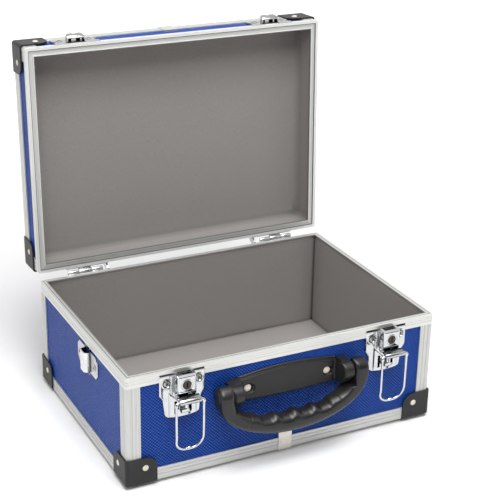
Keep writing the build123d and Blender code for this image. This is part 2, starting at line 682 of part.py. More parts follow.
def latch_lever():
    """The draw lever: a knuckle on the pin, a web, and the roll that carries the bail."""
    pivot = (LEVER_PIVOT_Y, LEVER_PIVOT_Z)
    tip = (BAIL_Y, BAIL_Z)
    neck = LOCK_BOX_WIDTH / 2 - LOCK_BOX_WALL - LEVER_NECK_GAP
    wide = LEVER_ROLL_LENGTH / 2
    knuckle = rod("X", LEVER_KNUCKLE_RADIUS, -neck, neck, pivot)
    roll = rod("X", LEVER_ROLL_RADIUS, -wide, wide, tip)
    along = Pos(0, *pivot) * Rot(-LEVER_OPEN_ANGLE, 0, 0)
    clear = LOCK_BOX_REACH - LEVER_PIVOT_REACH + LEVER_SHELF_GAP
    web_top = LEVER_WEB_LIFT + LEVER_WALL
    web = along * box(-neck, neck, -LEVER_ARM, 0, LEVER_WEB_LIFT, web_top)
    shelf = along * box(-wide, wide, -LEVER_ARM, -clear, LEVER_WEB_LIFT, web_top)
    lever = knuckle + roll + web + shelf
    lever -= rod("X", LEVER_PIN_RADIUS + RUNNING_CLEARANCE, -wide - 1, wide + 1, pivot)
    socket = BAIL_WIRE_RADIUS + RUNNING_CLEARANCE
    end = BAIL_WIDTH / 2 - BAIL_END - BODY_GAP
    for side in (-1, 1):
        x0, x1 = sorted((side * end, side * (wide + 1)))
        lever -= rod("X", socket, x0, x1, tip)
    return lever


def latch_bail():
    """The wire bail: two ends in the roll, two legs, and a foot set towards the case."""
    half = BAIL_WIDTH / 2
    low = BAIL_Z - BAIL_LENGTH
    bend = low + BAIL_HOOK_LENGTH
    set_in = BAIL_Y + BAIL_HOOK_SET
    points = [
        (-half + BAIL_END, BAIL_Y, BAIL_Z),
        (-half, BAIL_Y, BAIL_Z),
        (-half, BAIL_Y, bend),
        (-half, set_in, low),
        (half, set_in, low),
        (half, BAIL_Y, bend),
        (half, BAIL_Y, BAIL_Z),
        (half - BAIL_END, BAIL_Y, BAIL_Z),
    ]
    radii = [BAIL_ELBOW, BAIL_KNEE, BAIL_CORNER, BAIL_CORNER, BAIL_KNEE, BAIL_ELBOW]
    route = FilletPolyline(*points, radius=radii)
    section = Plane(origin=points[0], z_dir=(-1, 0, 0)) * Circle(BAIL_WIRE_RADIUS)
    wire = sweep(section, path=route)
    bead = Pos(0, set_in, low + BAIL_BEAD_LIFT) * Sphere(BAIL_BEAD_RADIUS)
    return wire + bead


def make_latches():
    skin_grip = -HALF_D - LATCH_PLATE_WALL
    rivet_z = SEAM_Z - LATCH_RIVET_DROP
    rivets = []
    pins = []
    for side, name in ((-1, "left"), (1, "right")):
        x = side * LATCH_X
        here = Pos(x, 0, 0)
        bodies["base"][f"latch_plate_{name}"] = latch_plate(x)
        bodies["base"][f"lock_box_{name}"] = here * lock_box()
        half = LOCK_BOX_WIDTH / 2
        pin = rod("X", LEVER_PIN_RADIUS, -half - PIN_PROUD, half + PIN_PROUD, (LEVER_PIVOT_Y, LEVER_PIVOT_Z))
        pins.append(here * pin)
        bodies[f"lock_{name}"] = {f"lock_cylinder_{name}": here * lock_cylinder()}
        bodies[f"lever_{name}"] = {f"latch_lever_{name}": here * latch_lever()}
        bodies[f"bail_{name}"] = {f"latch_bail_{name}": here * latch_bail()}
        places = [("-Y", (x + s * LATCH_RIVET_X, skin_grip, rivet_z)) for s in (-1, 1)]
        drill("base", [f"latch_plate_{name}", "base_panel_front"], places)
        rivets += [rivet(*place) for place in places]
    bodies["base"]["latch_lever_pins"] = group(pins)
    return rivets


def hood(wall):
    """The keeper's hood, drawn in by the wall: it sinks towards its mouth and its outer corners are round."""
    run_out = 1.0
    top = KEEPER_HOOK_TOP - wall
    low = KEEPER_HOOK_TOP - KEEPER_HOOK_DEPTH
    back = -HALF_D - KEEPER_WALL + run_out
    crown = -HALF_D - KEEPER_HOOK_REACH + wall
    lip = crown + KEEPER_HOOK_SINK
    turn = KEEPER_HOOK_ROUND - wall
    bend = turn * (1 - math.sqrt(0.5))
    upper = top - turn
    shoulder = ThreePointArc((crown + turn, top), (crown + bend, top - bend), (crown, upper))
    slope = ThreePointArc((crown, upper), (crown + KEEPER_HOOK_SINK / 4, (upper + low) / 2), (lip, low))
    rest = Polyline((lip, low), (lip, low - run_out), (back, low - run_out), (back, top), (crown + turn, top))
    mouth = KEEPER_HOOK_WIDTH / 2 - wall
    body = side_slab(make_face([shoulder, slope, rest]), -mouth, mouth)
    reach = 2 * KEEPER_HOOK_REACH
    plan = plinth(mouth, reach, low - 2 * run_out, top + run_out, KEEPER_HOOK_CORNER - wall)
    return body & (Pos(0, crown + reach, 0) * plan)


def keeper():
    """The lid's keeper: a riveted strip with a hollow hook that the bail drops behind."""
    low = LID_LOW + KEEPER_LIFT
    top = low + KEEPER_HEIGHT
    half = KEEPER_WIDTH / 2
    outline = Pos(0, (low + top) / 2) * Rectangle(KEEPER_WIDTH, KEEPER_HEIGHT)
    outline = chamfer(outline.vertices().sort_by(Axis.Y)[-2:], KEEPER_CHAMFER)
    for side in (-1, 1):
        outline -= Pos(side * half, (low + top) / 2 - KEEPER_SCALLOP_DROP) * Circle(KEEPER_SCALLOP)
    strip = front_slab(outline, HALF_D, HALF_D + KEEPER_WALL)
    backing = outline & (Pos(0, top) * Rectangle(2 * half, 2 * (top - LID_RIM_TOP)))
    strip += front_slab(backing, SKIN_D, HALF_D)
    hook_top = KEEPER_HOOK_TOP
    hook_low = hook_top - KEEPER_HOOK_DEPTH
    face = -HALF_D - KEEPER_HOOK_REACH
    back = -HALF_D - KEEPER_WALL
    mouth = KEEPER_HOOK_WIDTH / 2
    cut = mouth - KEEPER_HOOK_WALL
    strip -= box(-cut, cut, face, -SKIN_D, low - 1, hook_low)
    hook = hood(0) - hood(KEEPER_HOOK_WALL)
    hook &= box(-mouth, mouth, face, back, hook_low, hook_top)
    inside = BAIL_CORNER - BAIL_WIRE_RADIUS - BODY_GAP
    wide = BAIL_WIDTH - 2 * (BAIL_WIRE_RADIUS + BODY_GAP)
    eye = Pos(0, hook_top - BAIL_LENGTH / 2) * RectangleRounded(wide, BAIL_LENGTH, inside)
    hook &= front_slab(eye, HALF_D, HALF_D + 2 * KEEPER_HOOK_REACH)
    notch = BAIL_BEAD_RADIUS + 2 * BODY_GAP
    hook -= box(-notch, notch, face - 1, back, hook_top - notch - BAIL_BEAD_LIFT, hook_top + 1)
    return strip + hook


def make_keepers():
    rivets = []
    for side, name in ((-1, "left"), (1, "right")):
        x = side * LATCH_X
        bodies["lid"][f"keeper_{name}"] = Pos(x, 0, 0) * keeper()
        z = LID_LOW + KEEPER_RIVET_RISE
        places = [("-Y", (x + s * KEEPER_RIVET_X, -HALF_D - KEEPER_WALL, z)) for s in (-1, 1)]
        drill("lid", [f"keeper_{name}", "lid_panel_front"], places)
        rivets += [rivet(*place) for place in places]
    return rivets


def handle_plate():
    """The back plate: an arched top with a bevel, two sunk rivet seats and a knuckle at each end."""
    half = HANDLE_PLATE_WIDTH / 2
    end = half + KNUCKLE_WIDTH
    top = ThreePointArc((end, HANDLE_PLATE_END_TOP), (0, HANDLE_PLATE_TOP), (-end, HANDLE_PLATE_END_TOP))
    end_low = HANDLE_PLATE_END_BOTTOM
    low = ThreePointArc((-end, end_low), (0, HANDLE_PLATE_BOTTOM), (end, end_low))
    left = Line((-end, HANDLE_PLATE_END_TOP), (-end, end_low))
    right = Line((end, end_low), (end, HANDLE_PLATE_END_TOP))
    outline = make_face([top, left, low, right])
    plate = front_slab(outline, HALF_D - TRIM_WALL, HALF_D + HANDLE_PLATE_WALL - TRIM_WALL)
    arch = plate.edges().group_by(Axis.Y)[0].sort_by(Axis.Z)[-1]
    plate = chamfer(arch, HANDLE_PLATE_BEVEL)
    seat = -HALF_D + TRIM_WALL - HANDLE_PLATE_WALL + HANDLE_RECESS_DEPTH
    for side in (-1, 1):
        at = (side * HANDLE_RIVET_X, HANDLE_RIVET_Z)
        plate -= rod("Y", HANDLE_RECESS_RADIUS, -HALF_D - HANDLE_PLATE_WALL, seat, at)
    for side in (-1, 1):
        x0, x1 = sorted((side * half, side * end))
        plate += side_slab(knuckle_outline(), x0, x1)
    hole = HANDLE_PIN_RADIUS + HOLE_CLEARANCE
    return plate - rod("X", hole, -end - 1, end + 1, (HANDLE_PIVOT_Y, HANDLE_PIVOT_Z))


def knuckle_outline():
    """The side view of a knuckle: round about the pin, and a heel inside the grip's swing."""
    back = -HALF_D + TRIM_WALL
    heel = HANDLE_PIVOT_Z - KNUCKLE_REACH
    radius = KNUCKLE_RADIUS
    slope = math.radians(KNUCKLE_SLOPE)
    barrel = Pos(HANDLE_PIVOT_Y, HANDLE_PIVOT_Z) * Circle(radius)
    root = Polygon(
        (back, heel),
        (HANDLE_PIVOT_Y, heel),
        (HANDLE_PIVOT_Y - radius * math.cos(slope), HANDLE_PIVOT_Z - radius * math.sin(slope)),
        (HANDLE_PIVOT_Y, HANDLE_PIVOT_Z + radius),
        (back, HANDLE_PIVOT_Z + radius),
        align=None,
    )
    return barrel + root


def grip_station(turn):
    """A point of the grip's centre line, a superellipse from pin to pin, turn going from 0 to 180."""
    half_span = HANDLE_PLATE_WIDTH / 2 + KNUCKLE_WIDTH + GRIP_GAP + GRIP_LOBE_WIDTH / 2
    power = 2 / GRIP_SQUARENESS
    across = math.cos(math.radians(turn))
    down = math.sin(math.radians(turn))
    x = -half_span * math.copysign(abs(across) ** power, across)
    z = HANDLE_PIVOT_Z - GRIP_DROP * abs(down) ** power
    y = HANDLE_PIVOT_Y - (GRIP_REACH - HANDLE_PIVOT_REACH) * down**2
    return Vector(x, y, z)


def grip_section(turn):
    """The grip's oval section at one station, fuller towards the middle."""
    here = grip_station(turn)
    before = grip_station(max(turn - 1, 0))
    after = grip_station(min(turn + 1, 180))
    along = Vector(after.X - before.X, 0, after.Z - before.Z)
    belly = math.sin(math.radians(turn)) ** GRIP_BELLY
    across = GRIP_LOBE_WIDTH / 2 + (GRIP_THICKNESS / 2 - GRIP_LOBE_WIDTH / 2) * belly
    plane = Plane(origin=here, x_dir=(0, 1, 0), z_dir=along)
    return plane * Ellipse(GRIP_DEPTH / 2, across)


def handle_grip():
    """The grip: an arched oval bar with finger scallops between two eyes that turn on the pins."""
    inner = HANDLE_PLATE_WIDTH / 2 + KNUCKLE_WIDTH + GRIP_GAP
    outer = inner + GRIP_LOBE_WIDTH
    axis = (HANDLE_PIVOT_Y, HANDLE_PIVOT_Z)
    step = 180 / GRIP_STATIONS
    bar = loft([grip_section(step * k) for k in range(GRIP_STATIONS + 1)])
    far = -HALF_D - GRIP_REACH - GRIP_DEPTH
    notch = HANDLE_PIVOT_Z - GRIP_UNDER_KNUCKLE
    bar -= box(-inner, inner, far, -HALF_D, notch, HANDLE_PIVOT_Z + GRIP_LOBE_RADIUS)
    for side in (-1, 1):
        x0, x1 = sorted((side * inner, side * outer))
        eye = rod("X", GRIP_LOBE_RADIUS, x0, x1, axis)
        rim = eye.edges().sort_by(Axis.X)[-1 if side > 0 else 0]
        bar += fillet(rim, GRIP_EDGE)
    rise = FINGER_RADIUS - FINGER_DEPTH
    top = HANDLE_PIVOT_Z - GRIP_DROP + GRIP_THICKNESS / 2
    for k in range(FINGER_COUNT):
        x = (k - (FINGER_COUNT - 1) / 2) * FINGER_PITCH
        bar -= rod("Y", FINGER_RADIUS, far, -HALF_D, (x, top + rise))
    hole = HANDLE_PIN_RADIUS + RUNNING_CLEARANCE
    deep = inner + GRIP_LOBE_WIDTH * HANDLE_BORE_SHARE
    return bar - rod("X", hole, -deep, deep, axis)


def make_handle():
    bodies["base"]["handle_plate"] = handle_plate()
    bodies["handle"]["handle_grip"] = handle_grip()
    half = HANDLE_PLATE_WIDTH / 2
    end = half + KNUCKLE_WIDTH + GRIP_GAP + GRIP_LOBE_WIDTH * HANDLE_BORE_SHARE - BODY_GAP
    pins = []
    for side in (-1, 1):
        x0, x1 = sorted((side * (half + HANDLE_PIN_INSET), side * end))
        pins.append(rod("X", HANDLE_PIN_RADIUS, x0, x1, (HANDLE_PIVOT_Y, HANDLE_PIVOT_Z)))
    bodies["base"]["handle_pins"] = group(pins)
    seat = -HALF_D + TRIM_WALL - HANDLE_PLATE_WALL + HANDLE_RECESS_DEPTH
    places = [("-Y", (side * HANDLE_RIVET_X, seat, HANDLE_RIVET_Z)) for side in (-1, 1)]
    drill("base", ["handle_plate", "base_panel_front"], places)
    return [rivet(*place) for place in places]


def strap_bracket():
    """The left strap bracket: two riveted ears, and an upright bridge that a snap hook passes behind."""
    ear = Rectangle(BRACKET_WIDTH, BRACKET_EAR_HEIGHT)
    ear = chamfer(ear.vertices(), BRACKET_CHAMFER)
    tongue = RectangleRounded(BRACKET_TONGUE_WIDTH, BRACKET_TONGUE_HEIGHT, BRACKET_ROUND)
    outline = Pos(BRACKET_Y, BRACKET_Z) * (ear + tongue)
    skin = -SKIN_W
    plate = side_slab(outline, skin - BRACKET_WALL, skin)
    half = BRIDGE_WIDTH / 2
    tall = BRIDGE_HEIGHT / 2
    inner_half = half - BRIDGE_WALL
    window_z = BRACKET_TONGUE_HEIGHT / 2 - BRACKET_WINDOW_MARGIN
    window = box(
        skin - BRACKET_WALL - 1,
        skin + 1,
        BRACKET_Y - inner_half,
        BRACKET_Y + inner_half,
        BRACKET_Z - window_z,
        BRACKET_Z + window_z,
    )
    plate -= window
    face = skin - BRIDGE_REACH
    outer = Pos((face + skin - BRACKET_WALL) / 2, BRACKET_Y, BRACKET_Z)
    outer *= Box(skin - BRACKET_WALL - face, BRIDGE_WIDTH, BRIDGE_HEIGHT)
    corners = outer.edges().filter_by(Axis.Z).sort_by(Axis.X)[:2]
    outer = fillet(corners, BRACKET_ROUND)
    inner_face = face + BRIDGE_WALL
    inner = box(
        inner_face,
        skin + 1,
        BRACKET_Y - inner_half,
        BRACKET_Y + inner_half,
        BRACKET_Z - tall - 1,
        BRACKET_Z + tall + 1,
    )
    inner_corners = inner.edges().filter_by(Axis.Z).sort_by(Axis.X)[:2]
    inner = fillet(inner_corners, BRACKET_ROUND - BRIDGE_WALL)
    return plate + (outer - inner)


def make_brackets():
    bracket = strap_bracket()
    bodies["base"]["strap_bracket_left"] = bracket
    bodies["base"]["strap_bracket_right"] = mirrored_x(bracket)
    rivets = []
    for side, name in ((-1, "left"), (1, "right")):
        toward = "-X" if side < 0 else "+X"
        x = side * (SKIN_W + BRACKET_WALL)
        offsets = (-BRACKET_RIVET_SPACING / 2, BRACKET_RIVET_SPACING / 2)
        places = [(toward, (x, BRACKET_Y + dy, BRACKET_Z)) for dy in offsets]
        drill("base", [f"strap_bracket_{name}", f"base_panel_{name}"], places)
        rivets += [rivet(*place) for place in places]
    return rivets


def hinge_knuckle(x0, x1, up, bore):
    """One barrel knuckle with the web that joins it to its leaf, above or below the seam."""
    knuckle = rod("X", HINGE_BARREL_RADIUS, x0, x1, (HINGE_AXIS_Y, SEAM_Z))
    near = HALF_D + HINGE_LEAF_WALL / 2
    web = Polygon(
        (near, SEAM_Z + up * HINGE_WEB_NEAR),
        (HINGE_AXIS_Y, SEAM_Z + up * HINGE_WEB_FAR),
        (HINGE_AXIS_Y, SEAM_Z + up * HINGE_BARREL_RADIUS),
        (near, SEAM_Z + up * HINGE_WEB_ROOT),
        align=None,
    )
    knuckle += side_slab(web, x0, x1)
    return knuckle - rod("X", bore, x0 - 1, x1 + 1, (HINGE_AXIS_Y, SEAM_Z))


def hinge_leaves():
    """The right hinge: a base leaf with two outer knuckles and a stop lug, and a lid leaf."""
    edge = HINGE_BARREL_LENGTH / 2
    inner = -edge - HINGE_INNER_MARGIN
    outer = edge + HINGE_OUTER_MARGIN
    wall = HINGE_LEAF_WALL
    skin = SKIN_D
    middle = HINGE_MIDDLE_KNUCKLE / 2
    top = SEAM_Z - HINGE_LEAF_GAP
    base_leaf = box(inner, outer, HALF_D, HALF_D + wall, top - HINGE_BASE_LEAF, top)
    base_leaf += box(inner, outer, skin, HALF_D, top - HINGE_BASE_LEAF, BASE_RIM_LOW)
    fixed_bore = HINGE_PIN_RADIUS + HOLE_CLEARANCE
    base_leaf += hinge_knuckle(-edge, -middle - BODY_GAP, -1, fixed_bore)
    base_leaf += hinge_knuckle(middle + BODY_GAP, edge, -1, fixed_bore)
    base_leaf += side_slab(stop_lug(), inner, inner + STOP_LUG_WIDTH)

    low = SEAM_Z + HINGE_LEAF_GAP
    lid_leaf = box(inner, outer, HALF_D, HALF_D + wall, low, low + HINGE_LID_LEAF)
    lid_leaf += box(inner, outer, skin, HALF_D, LID_RIM_TOP, low + HINGE_LID_LEAF)
    lid_leaf += hinge_knuckle(-middle, middle, 1, HINGE_PIN_RADIUS + RUNNING_CLEARANCE)
    return base_leaf, lid_leaf


def stop_lug():
    """The side view of a stop lug, whose top lies just under the open lid's leaf."""
    lean = math.radians(LID_OPEN_ANGLE - 90)
    level = HINGE_OFFSET - HINGE_LEAF_WALL - BODY_GAP
    far = HINGE_AXIS_Y + STOP_LUG_REACH
    near = HINGE_AXIS_Y + STOP_LUG_NEAR
    far_top = SEAM_Z + level - STOP_LUG_REACH * math.tan(lean)
    near_top = SEAM_Z + level - STOP_LUG_NEAR * math.tan(lean)
    face = HALF_D + HINGE_LEAF_WALL / 2
    return Polygon(
        (face, SEAM_Z - STOP_LUG_DROP),
        (far, far_top - STOP_LUG_TIP),
        (far, far_top),
        (near, near_top),
        (HINGE_AXIS_Y, SEAM_Z - STOP_LUG_GAP),
        (face, SEAM_Z - STOP_LUG_GAP),
        align=None,
    )


def make_hinges():
    base_rivets = []
    lid_rivets = []
    pins = []
    edge = HINGE_BARREL_LENGTH / 2
    back = HALF_D + HINGE_LEAF_WALL
    for side, name in ((-1, "left"), (1, "right")):
        x = side * HINGE_X
        for leaf, body in zip(hinge_leaves(), ("base", "lid")):
            placed = Pos(HINGE_X, 0, 0) * leaf
            bodies[body][f"hinge_{body}_leaf_{name}"] = placed if side > 0 else mirrored_x(placed)
        end = edge + PIN_PROUD
        pins.append(rod("X", HINGE_PIN_RADIUS, x - end, x + end, (HINGE_AXIS_Y, SEAM_Z)))
        for body, z, rivets in (
            ("base", SEAM_Z - HINGE_RIVET_DROP, base_rivets),
            ("lid", SEAM_Z + HINGE_RIVET_DROP, lid_rivets),
        ):
            places = [("+Y", (x + s * HINGE_RIVET_X, back, z)) for s in (-1, 1)]
            leaf = f"hinge_{body}_leaf_{name}"
            drill(body, [leaf, f"{body}_panel_rear"], places)
            rivets += [rivet(*place) for place in places]
    bodies["base"]["hinge_pins"] = group(pins)
    return base_rivets, lid_rivets


def build():
    """Makes every node, with the lid still closed."""
    make_boards()
    make_linings()
    make_rims()
    make_edge_trims()
    make_corner_trims()
    make_caps()
    make_feet()
    make_clips()
    fitting_rivets = make_latches()
    fitting_rivets += make_handle()
    fitting_rivets += make_brackets()
    keeper_rivets = make_keepers()
    base_hinge_rivets, lid_hinge_rivets = make_hinges()
    bodies["base"]["fitting_rivets"] = group(fitting_rivets + base_hinge_rivets)
    bodies["lid"]["lid_fitting_rivets"] = group(keeper_rivets + lid_hinge_rivets)


def open_lid():
    """Turns the lid's nodes back about the hinge axis."""
    to_axis = Pos(0, HINGE_AXIS_Y, SEAM_Z)
    from_axis = Pos(0, -HINGE_AXIS_Y, -SEAM_Z)
    swing = to_axis * Rot(-LID_OPEN_ANGLE, 0, 0) * from_axis
    bodies["lid"] = {name: swing * shape for name, shape in bodies["lid"].items()}


def origin_shift():
    """How far the case slides along Y to put the origin under the middle of its open outline."""
    boxes = [shape.bounding_box() for nodes in bodies.values() for shape in nodes.values()]
    front = min(b.min.Y for b in boxes)
    rear = max(b.max.Y for b in boxes)
    return -(front + rear) / 2


build()
open_lid()
SHIFT_Y = origin_shift()

os.makedirs("parts", exist_ok=True)
for body_name, body_nodes in bodies.items():
    for node_name, node_shape in body_nodes.items():
        export_step(Pos(0, SHIFT_Y, 0) * node_shape, f"parts/{node_name}.step")
print("nodes", sum(len(nodes) for nodes in bodies.values()), "shift along Y", round(SHIFT_Y, 4))
print("swings: lid", LID_OPEN_ANGLE, "handle", HANDLE_SWING, "lever", LEVER_SWING, "bail", round(BAIL_SWING, 3))
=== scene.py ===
# %% [markdown]
# An aluminium-edged case, dressed on its CAD frame
# The model comes in as a fixed frame: solids of the right size in the right place. This lesson gives each of
# them a worked-out finish, and replaces the few whose real surface is rounder or finer than a solid shows.
# We load the frame first, because every later step asks it where things are.

# %% Load the frame
import json
import math
import bpy
import numpy as np
from mathutils import Matrix, Vector


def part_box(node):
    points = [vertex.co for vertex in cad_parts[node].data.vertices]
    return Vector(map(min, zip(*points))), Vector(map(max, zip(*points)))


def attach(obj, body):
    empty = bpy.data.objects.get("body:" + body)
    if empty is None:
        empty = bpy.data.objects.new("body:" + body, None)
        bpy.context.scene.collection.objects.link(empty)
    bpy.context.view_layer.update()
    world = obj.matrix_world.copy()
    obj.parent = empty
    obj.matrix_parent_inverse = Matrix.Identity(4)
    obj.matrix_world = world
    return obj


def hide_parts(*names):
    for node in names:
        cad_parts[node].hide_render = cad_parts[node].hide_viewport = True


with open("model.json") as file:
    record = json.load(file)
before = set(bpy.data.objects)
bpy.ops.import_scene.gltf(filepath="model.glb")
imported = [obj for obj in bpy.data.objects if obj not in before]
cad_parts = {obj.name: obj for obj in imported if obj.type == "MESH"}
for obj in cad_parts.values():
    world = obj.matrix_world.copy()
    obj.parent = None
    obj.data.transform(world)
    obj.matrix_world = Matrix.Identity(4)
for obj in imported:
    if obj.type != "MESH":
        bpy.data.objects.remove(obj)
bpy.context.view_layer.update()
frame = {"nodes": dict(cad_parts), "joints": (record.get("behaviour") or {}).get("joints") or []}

joints = {joint["name"]: joint for joint in frame["joints"]}

# %% [markdown]
# Lengths are easier to read in millimetres, so every shape below is worked out in millimetres and turned into
# metres when its mesh is made. We read where the case stands from its boards, and where the lid turns from
# its joint. The origin lies under the middle of the open case's outline, so the base's own middle is a little
# in front of it.

# %% Where the case stands
MM = 0.001
TRIM = 1.2
BOARD = 3.5
LID_HEIGHT = 37.0


def low_high(node):
    """A node's lowest and highest corner in millimetres."""
    low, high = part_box(node)
    return np.array(low) / MM, np.array(high) / MM


def pivot(joint):
    """A point on a joint's axis in millimetres."""
    return np.array(joints[joint]["pos_m"]) / MM


front_low, front_high = low_high("base_panel_front")
rear_high = low_high("base_panel_rear")[1]
MIDDLE_Y = float(front_low[1] + rear_high[1]) / 2
HALF_WIDTH = float(front_high[0]) + TRIM
HALF_DEPTH = float(rear_high[1]) - MIDDLE_Y + TRIM
FRONT = MIDDLE_Y - HALF_DEPTH
REAR = MIDDLE_Y + HALF_DEPTH
SKIN_FRONT = float(front_low[1])
LID_AXIS = pivot("lid_hinge")
LID_ANGLE = math.radians(joints["lid_hinge"]["range_deg"][1])
SEAM = float(LID_AXIS[2])
LID_TOP = SEAM + LID_HEIGHT
CLOSED_Y = np.array([0.0, math.cos(LID_ANGLE), -math.sin(LID_ANGLE)])
CLOSED_Z = np.array([0.0, math.sin(LID_ANGLE), math.cos(LID_ANGLE)])
print("half width", HALF_WIDTH, "half depth", round(HALF_DEPTH, 2), "front", round(FRONT, 2), "seam", SEAM)


def opened(points):
    """Points of the closed lid, in the case's frame, turned back about the hinge to the open pose."""
    y = points[..., 1:2] - LID_AXIS[1]
    z = points[..., 2:3] - LID_AXIS[2]
    swung = LID_AXIS + y * CLOSED_Y + z * CLOSED_Z
    swung[..., 0] = points[..., 0]
    return swung


# %% [markdown]
# The camera comes early, so that every later piece can be looked at from where it will be seen. A long lens
# from over a metre away keeps the case's edges nearly parallel. The camera is turned a degree about its own
# line of sight, because a hand-held or hurried picture is seldom quite level.

# %% The camera
AZIMUTH = math.radians(-27.2)
ELEVATION = math.radians(22.8)
DISTANCE = 1.302
AIM = Vector((0.018, -0.0142213, 0.1598))
FOCAL_PIXELS = 1330.0
FRAME_PIXELS = 500.0
SENSOR_MM = 36.0
TILT = math.radians(1.2)

level = math.cos(ELEVATION)
back = Vector((math.sin(AZIMUTH) * level, -math.cos(AZIMUTH) * level, math.sin(ELEVATION)))
right = Vector((math.cos(AZIMUTH), math.sin(AZIMUTH), 0.0))
up = back.cross(right)
place = AIM + back * DISTANCE
camera_data = bpy.data.cameras.new("camera")
camera_data.sensor_width = SENSOR_MM
camera_data.lens = FOCAL_PIXELS * SENSOR_MM / FRAME_PIXELS
camera = bpy.data.objects.new("camera", camera_data)
turned = Matrix((right, up, back)).transposed().to_4x4()
camera.matrix_world = Matrix.Translation(place) @ turned @ Matrix.Rotation(TILT, 4, "Z")
bpy.context.scene.collection.objects.link(camera)
bpy.context.scene.camera = camera
print("lens", round(camera_data.lens, 1), "mm")

# %% [markdown]
# A finish is a small graph of nodes. Written out by hand that is slow to read, so one class wraps a socket
# and lets Python's own operators add the Math nodes, and one method makes a node of any kind. The graph then
# reads like the sum that it is.

# %% Shader expressions
def operator(operation, swapped=False):
    """A method of Sock that adds one Math node, with the two values the other way round if swapped."""

    def method(self, other):
        values = [other, self] if swapped else [self, other]
        return self.graph.node("ShaderNodeMath", {"operation": operation}, values)

    return method


class Sock:
    """A socket that takes part in sums: a + b, 2 * a, 1 - a, a / 2."""

    __add__ = operator("ADD")
    __radd__ = operator("ADD", swapped=True)
    __sub__ = operator("SUBTRACT")
    __rsub__ = operator("SUBTRACT", swapped=True)
    __mul__ = operator("MULTIPLY")
    __rmul__ = operator("MULTIPLY", swapped=True)
    __truediv__ = operator("DIVIDE")
    least = operator("MINIMUM")
    most = operator("MAXIMUM")

    def __init__(self, graph, socket):
        self.graph = graph
        self.socket = socket

    def size(self):
        return self.graph.node("ShaderNodeMath", {"operation": "ABSOLUTE"}, [self])

    def sine(self):
        return self.graph.node("ShaderNodeMath", {"operation": "SINE"}, [self])

    def rise(self, low, high):
        """Goes smoothly from 0 at low to 1 at high."""
        values = {"Value": self, "From Min": low, "From Max": high}
        return self.graph.node("ShaderNodeMapRange", {"interpolation_type": "SMOOTHSTEP"}, values)


class Finish:
    """One graph of shader nodes, for a material or for the world."""

    def __init__(self, owner):
        owner.use_nodes = True
        self.owner = owner
        self.tree = owner.node_tree
        self.tree.nodes.clear()

    def put(self, socket, value):
        """Links a socket or sets its value."""
        if isinstance(value, Sock):
            self.tree.links.new(value.socket, socket)
        else:
            socket.default_value = value

    def node(self, kind, settings, values, output=0):
        """A node of one kind: its settings first, then the values or links of its sockets."""
        made = self.tree.nodes.new(kind)
        for key, value in settings.items():
            setattr(made, key, value)
        inputs = enumerate(values) if isinstance(values, list) else values.items()
        for key, value in inputs:
            self.put(made.inputs[key], value)
        return Sock(self, made.outputs[output]) if made.outputs else None

    def place(self):
        return self.node("ShaderNodeTexCoord", {}, {}, "Object")

    def along(self, direction):
        """How far a point lies along a direction, in millimetres."""
        values = [self.place(), tuple(direction)]
        return self.node("ShaderNodeVectorMath", {"operation": "DOT_PRODUCT"}, values, "Value") / MM

    def noise(self, patches, detail=2.0, roughness=0.5):
        """Cloudy values about 0.5, so many patches to the metre."""
        values = {"Vector": self.place(), "Scale": patches, "Detail": detail, "Roughness": roughness}
        return self.node("ShaderNodeTexNoise", {}, values)

    def lines(self, coordinate, per_mm, detail=2.0):
        """Noise that changes along one coordinate alone, and so draws fine lines across it."""
        values = {"W": coordinate, "Scale": per_mm, "Detail": detail}
        return self.node("ShaderNodeTexNoise", {"noise_dimensions": "1D"}, values)

    def mix(self, share, low, high):
        """A blend from the colour low to the colour high."""
        return self.node("ShaderNodeMix", {"data_type": "RGBA"}, {0: share, 6: low, 7: high}, 2)

    def recess_shade(self):
        """How much painted shade a point has, 0 to 1, as its piece says. Pieces that say nothing give 0."""
        return self.node("ShaderNodeAttribute", {"attribute_name": "recess_shade"}, {}, "Fac")

    def bump(self, height, depth_mm, strength=1.0):
        values = {"Height": height, "Distance": depth_mm * MM, "Strength": strength}
        return self.node("ShaderNodeBump", {}, values)

    def surface(self, **values):
        """Ends a material with a Principled shader. Names use underscores for spaces, as Base_Color."""
        spaced = {key.replace("_", " "): value for key, value in values.items()}
        shader = self.node("ShaderNodeBsdfPrincipled", {}, spaced)
        self.node("ShaderNodeOutputMaterial", {}, [shader])
        return self.owner


def new_finish(name):
    return Finish(bpy.data.materials.new(name))


def paint(*rgb, share=1.0):
    """A colour for a socket: red, green and blue times a share, and no transparency."""
    return tuple(share * value for value in rgb) + (1.0,)


def case_axes(finish, body):
    """X, Y and Z of the closed case in millimetres, X and Y from its middle, for a base or a lid piece."""
    x = finish.along((1.0, 0.0, 0.0))
    if body == "base":
        return x, finish.along((0.0, 1.0, 0.0)) - MIDDLE_Y, finish.along((0.0, 0.0, 1.0))
    y = finish.along(CLOSED_Y) + float(LID_AXIS[1] - MIDDLE_Y - LID_AXIS @ CLOSED_Y)
    z = finish.along(CLOSED_Z) + float(SEAM - LID_AXIS @ CLOSED_Z)
    return x, y, z


# %% [markdown]
# A studio for a small shiny object is mostly large soft surfaces. A big lamp high in front is the key, one
# overhead reaches into the open case, and a weak one on the right opens the shadows. The world fills the
# rest, mostly from the left, as a window would. Bright metal shows its surroundings: white paper all round,
# and in front, where the photographer stands, a dark room between the paper and the lamps. That dark patch
# is what draws thin dark lines on chrome.

# %% Floor, lamps and world
FILL = 0.14
LEFT_PAPER = 0.62
RIGHT_SHADE = 0.3
DARK_ROOM = 0.9
FRONT_SHADE = 0.2
WHITE = paint(1.0, 1.0, 1.0)
BLACK = paint(0.0, 0.0, 0.0)
PAPER = paint(0.86, 0.86, 0.86)
PAPER_GLOW = 0.75
NEAR_GLOW = 0.08
PAPER_HALF = 4.0
LAMP_AIM = Vector((0.0, 0.0, 0.12))


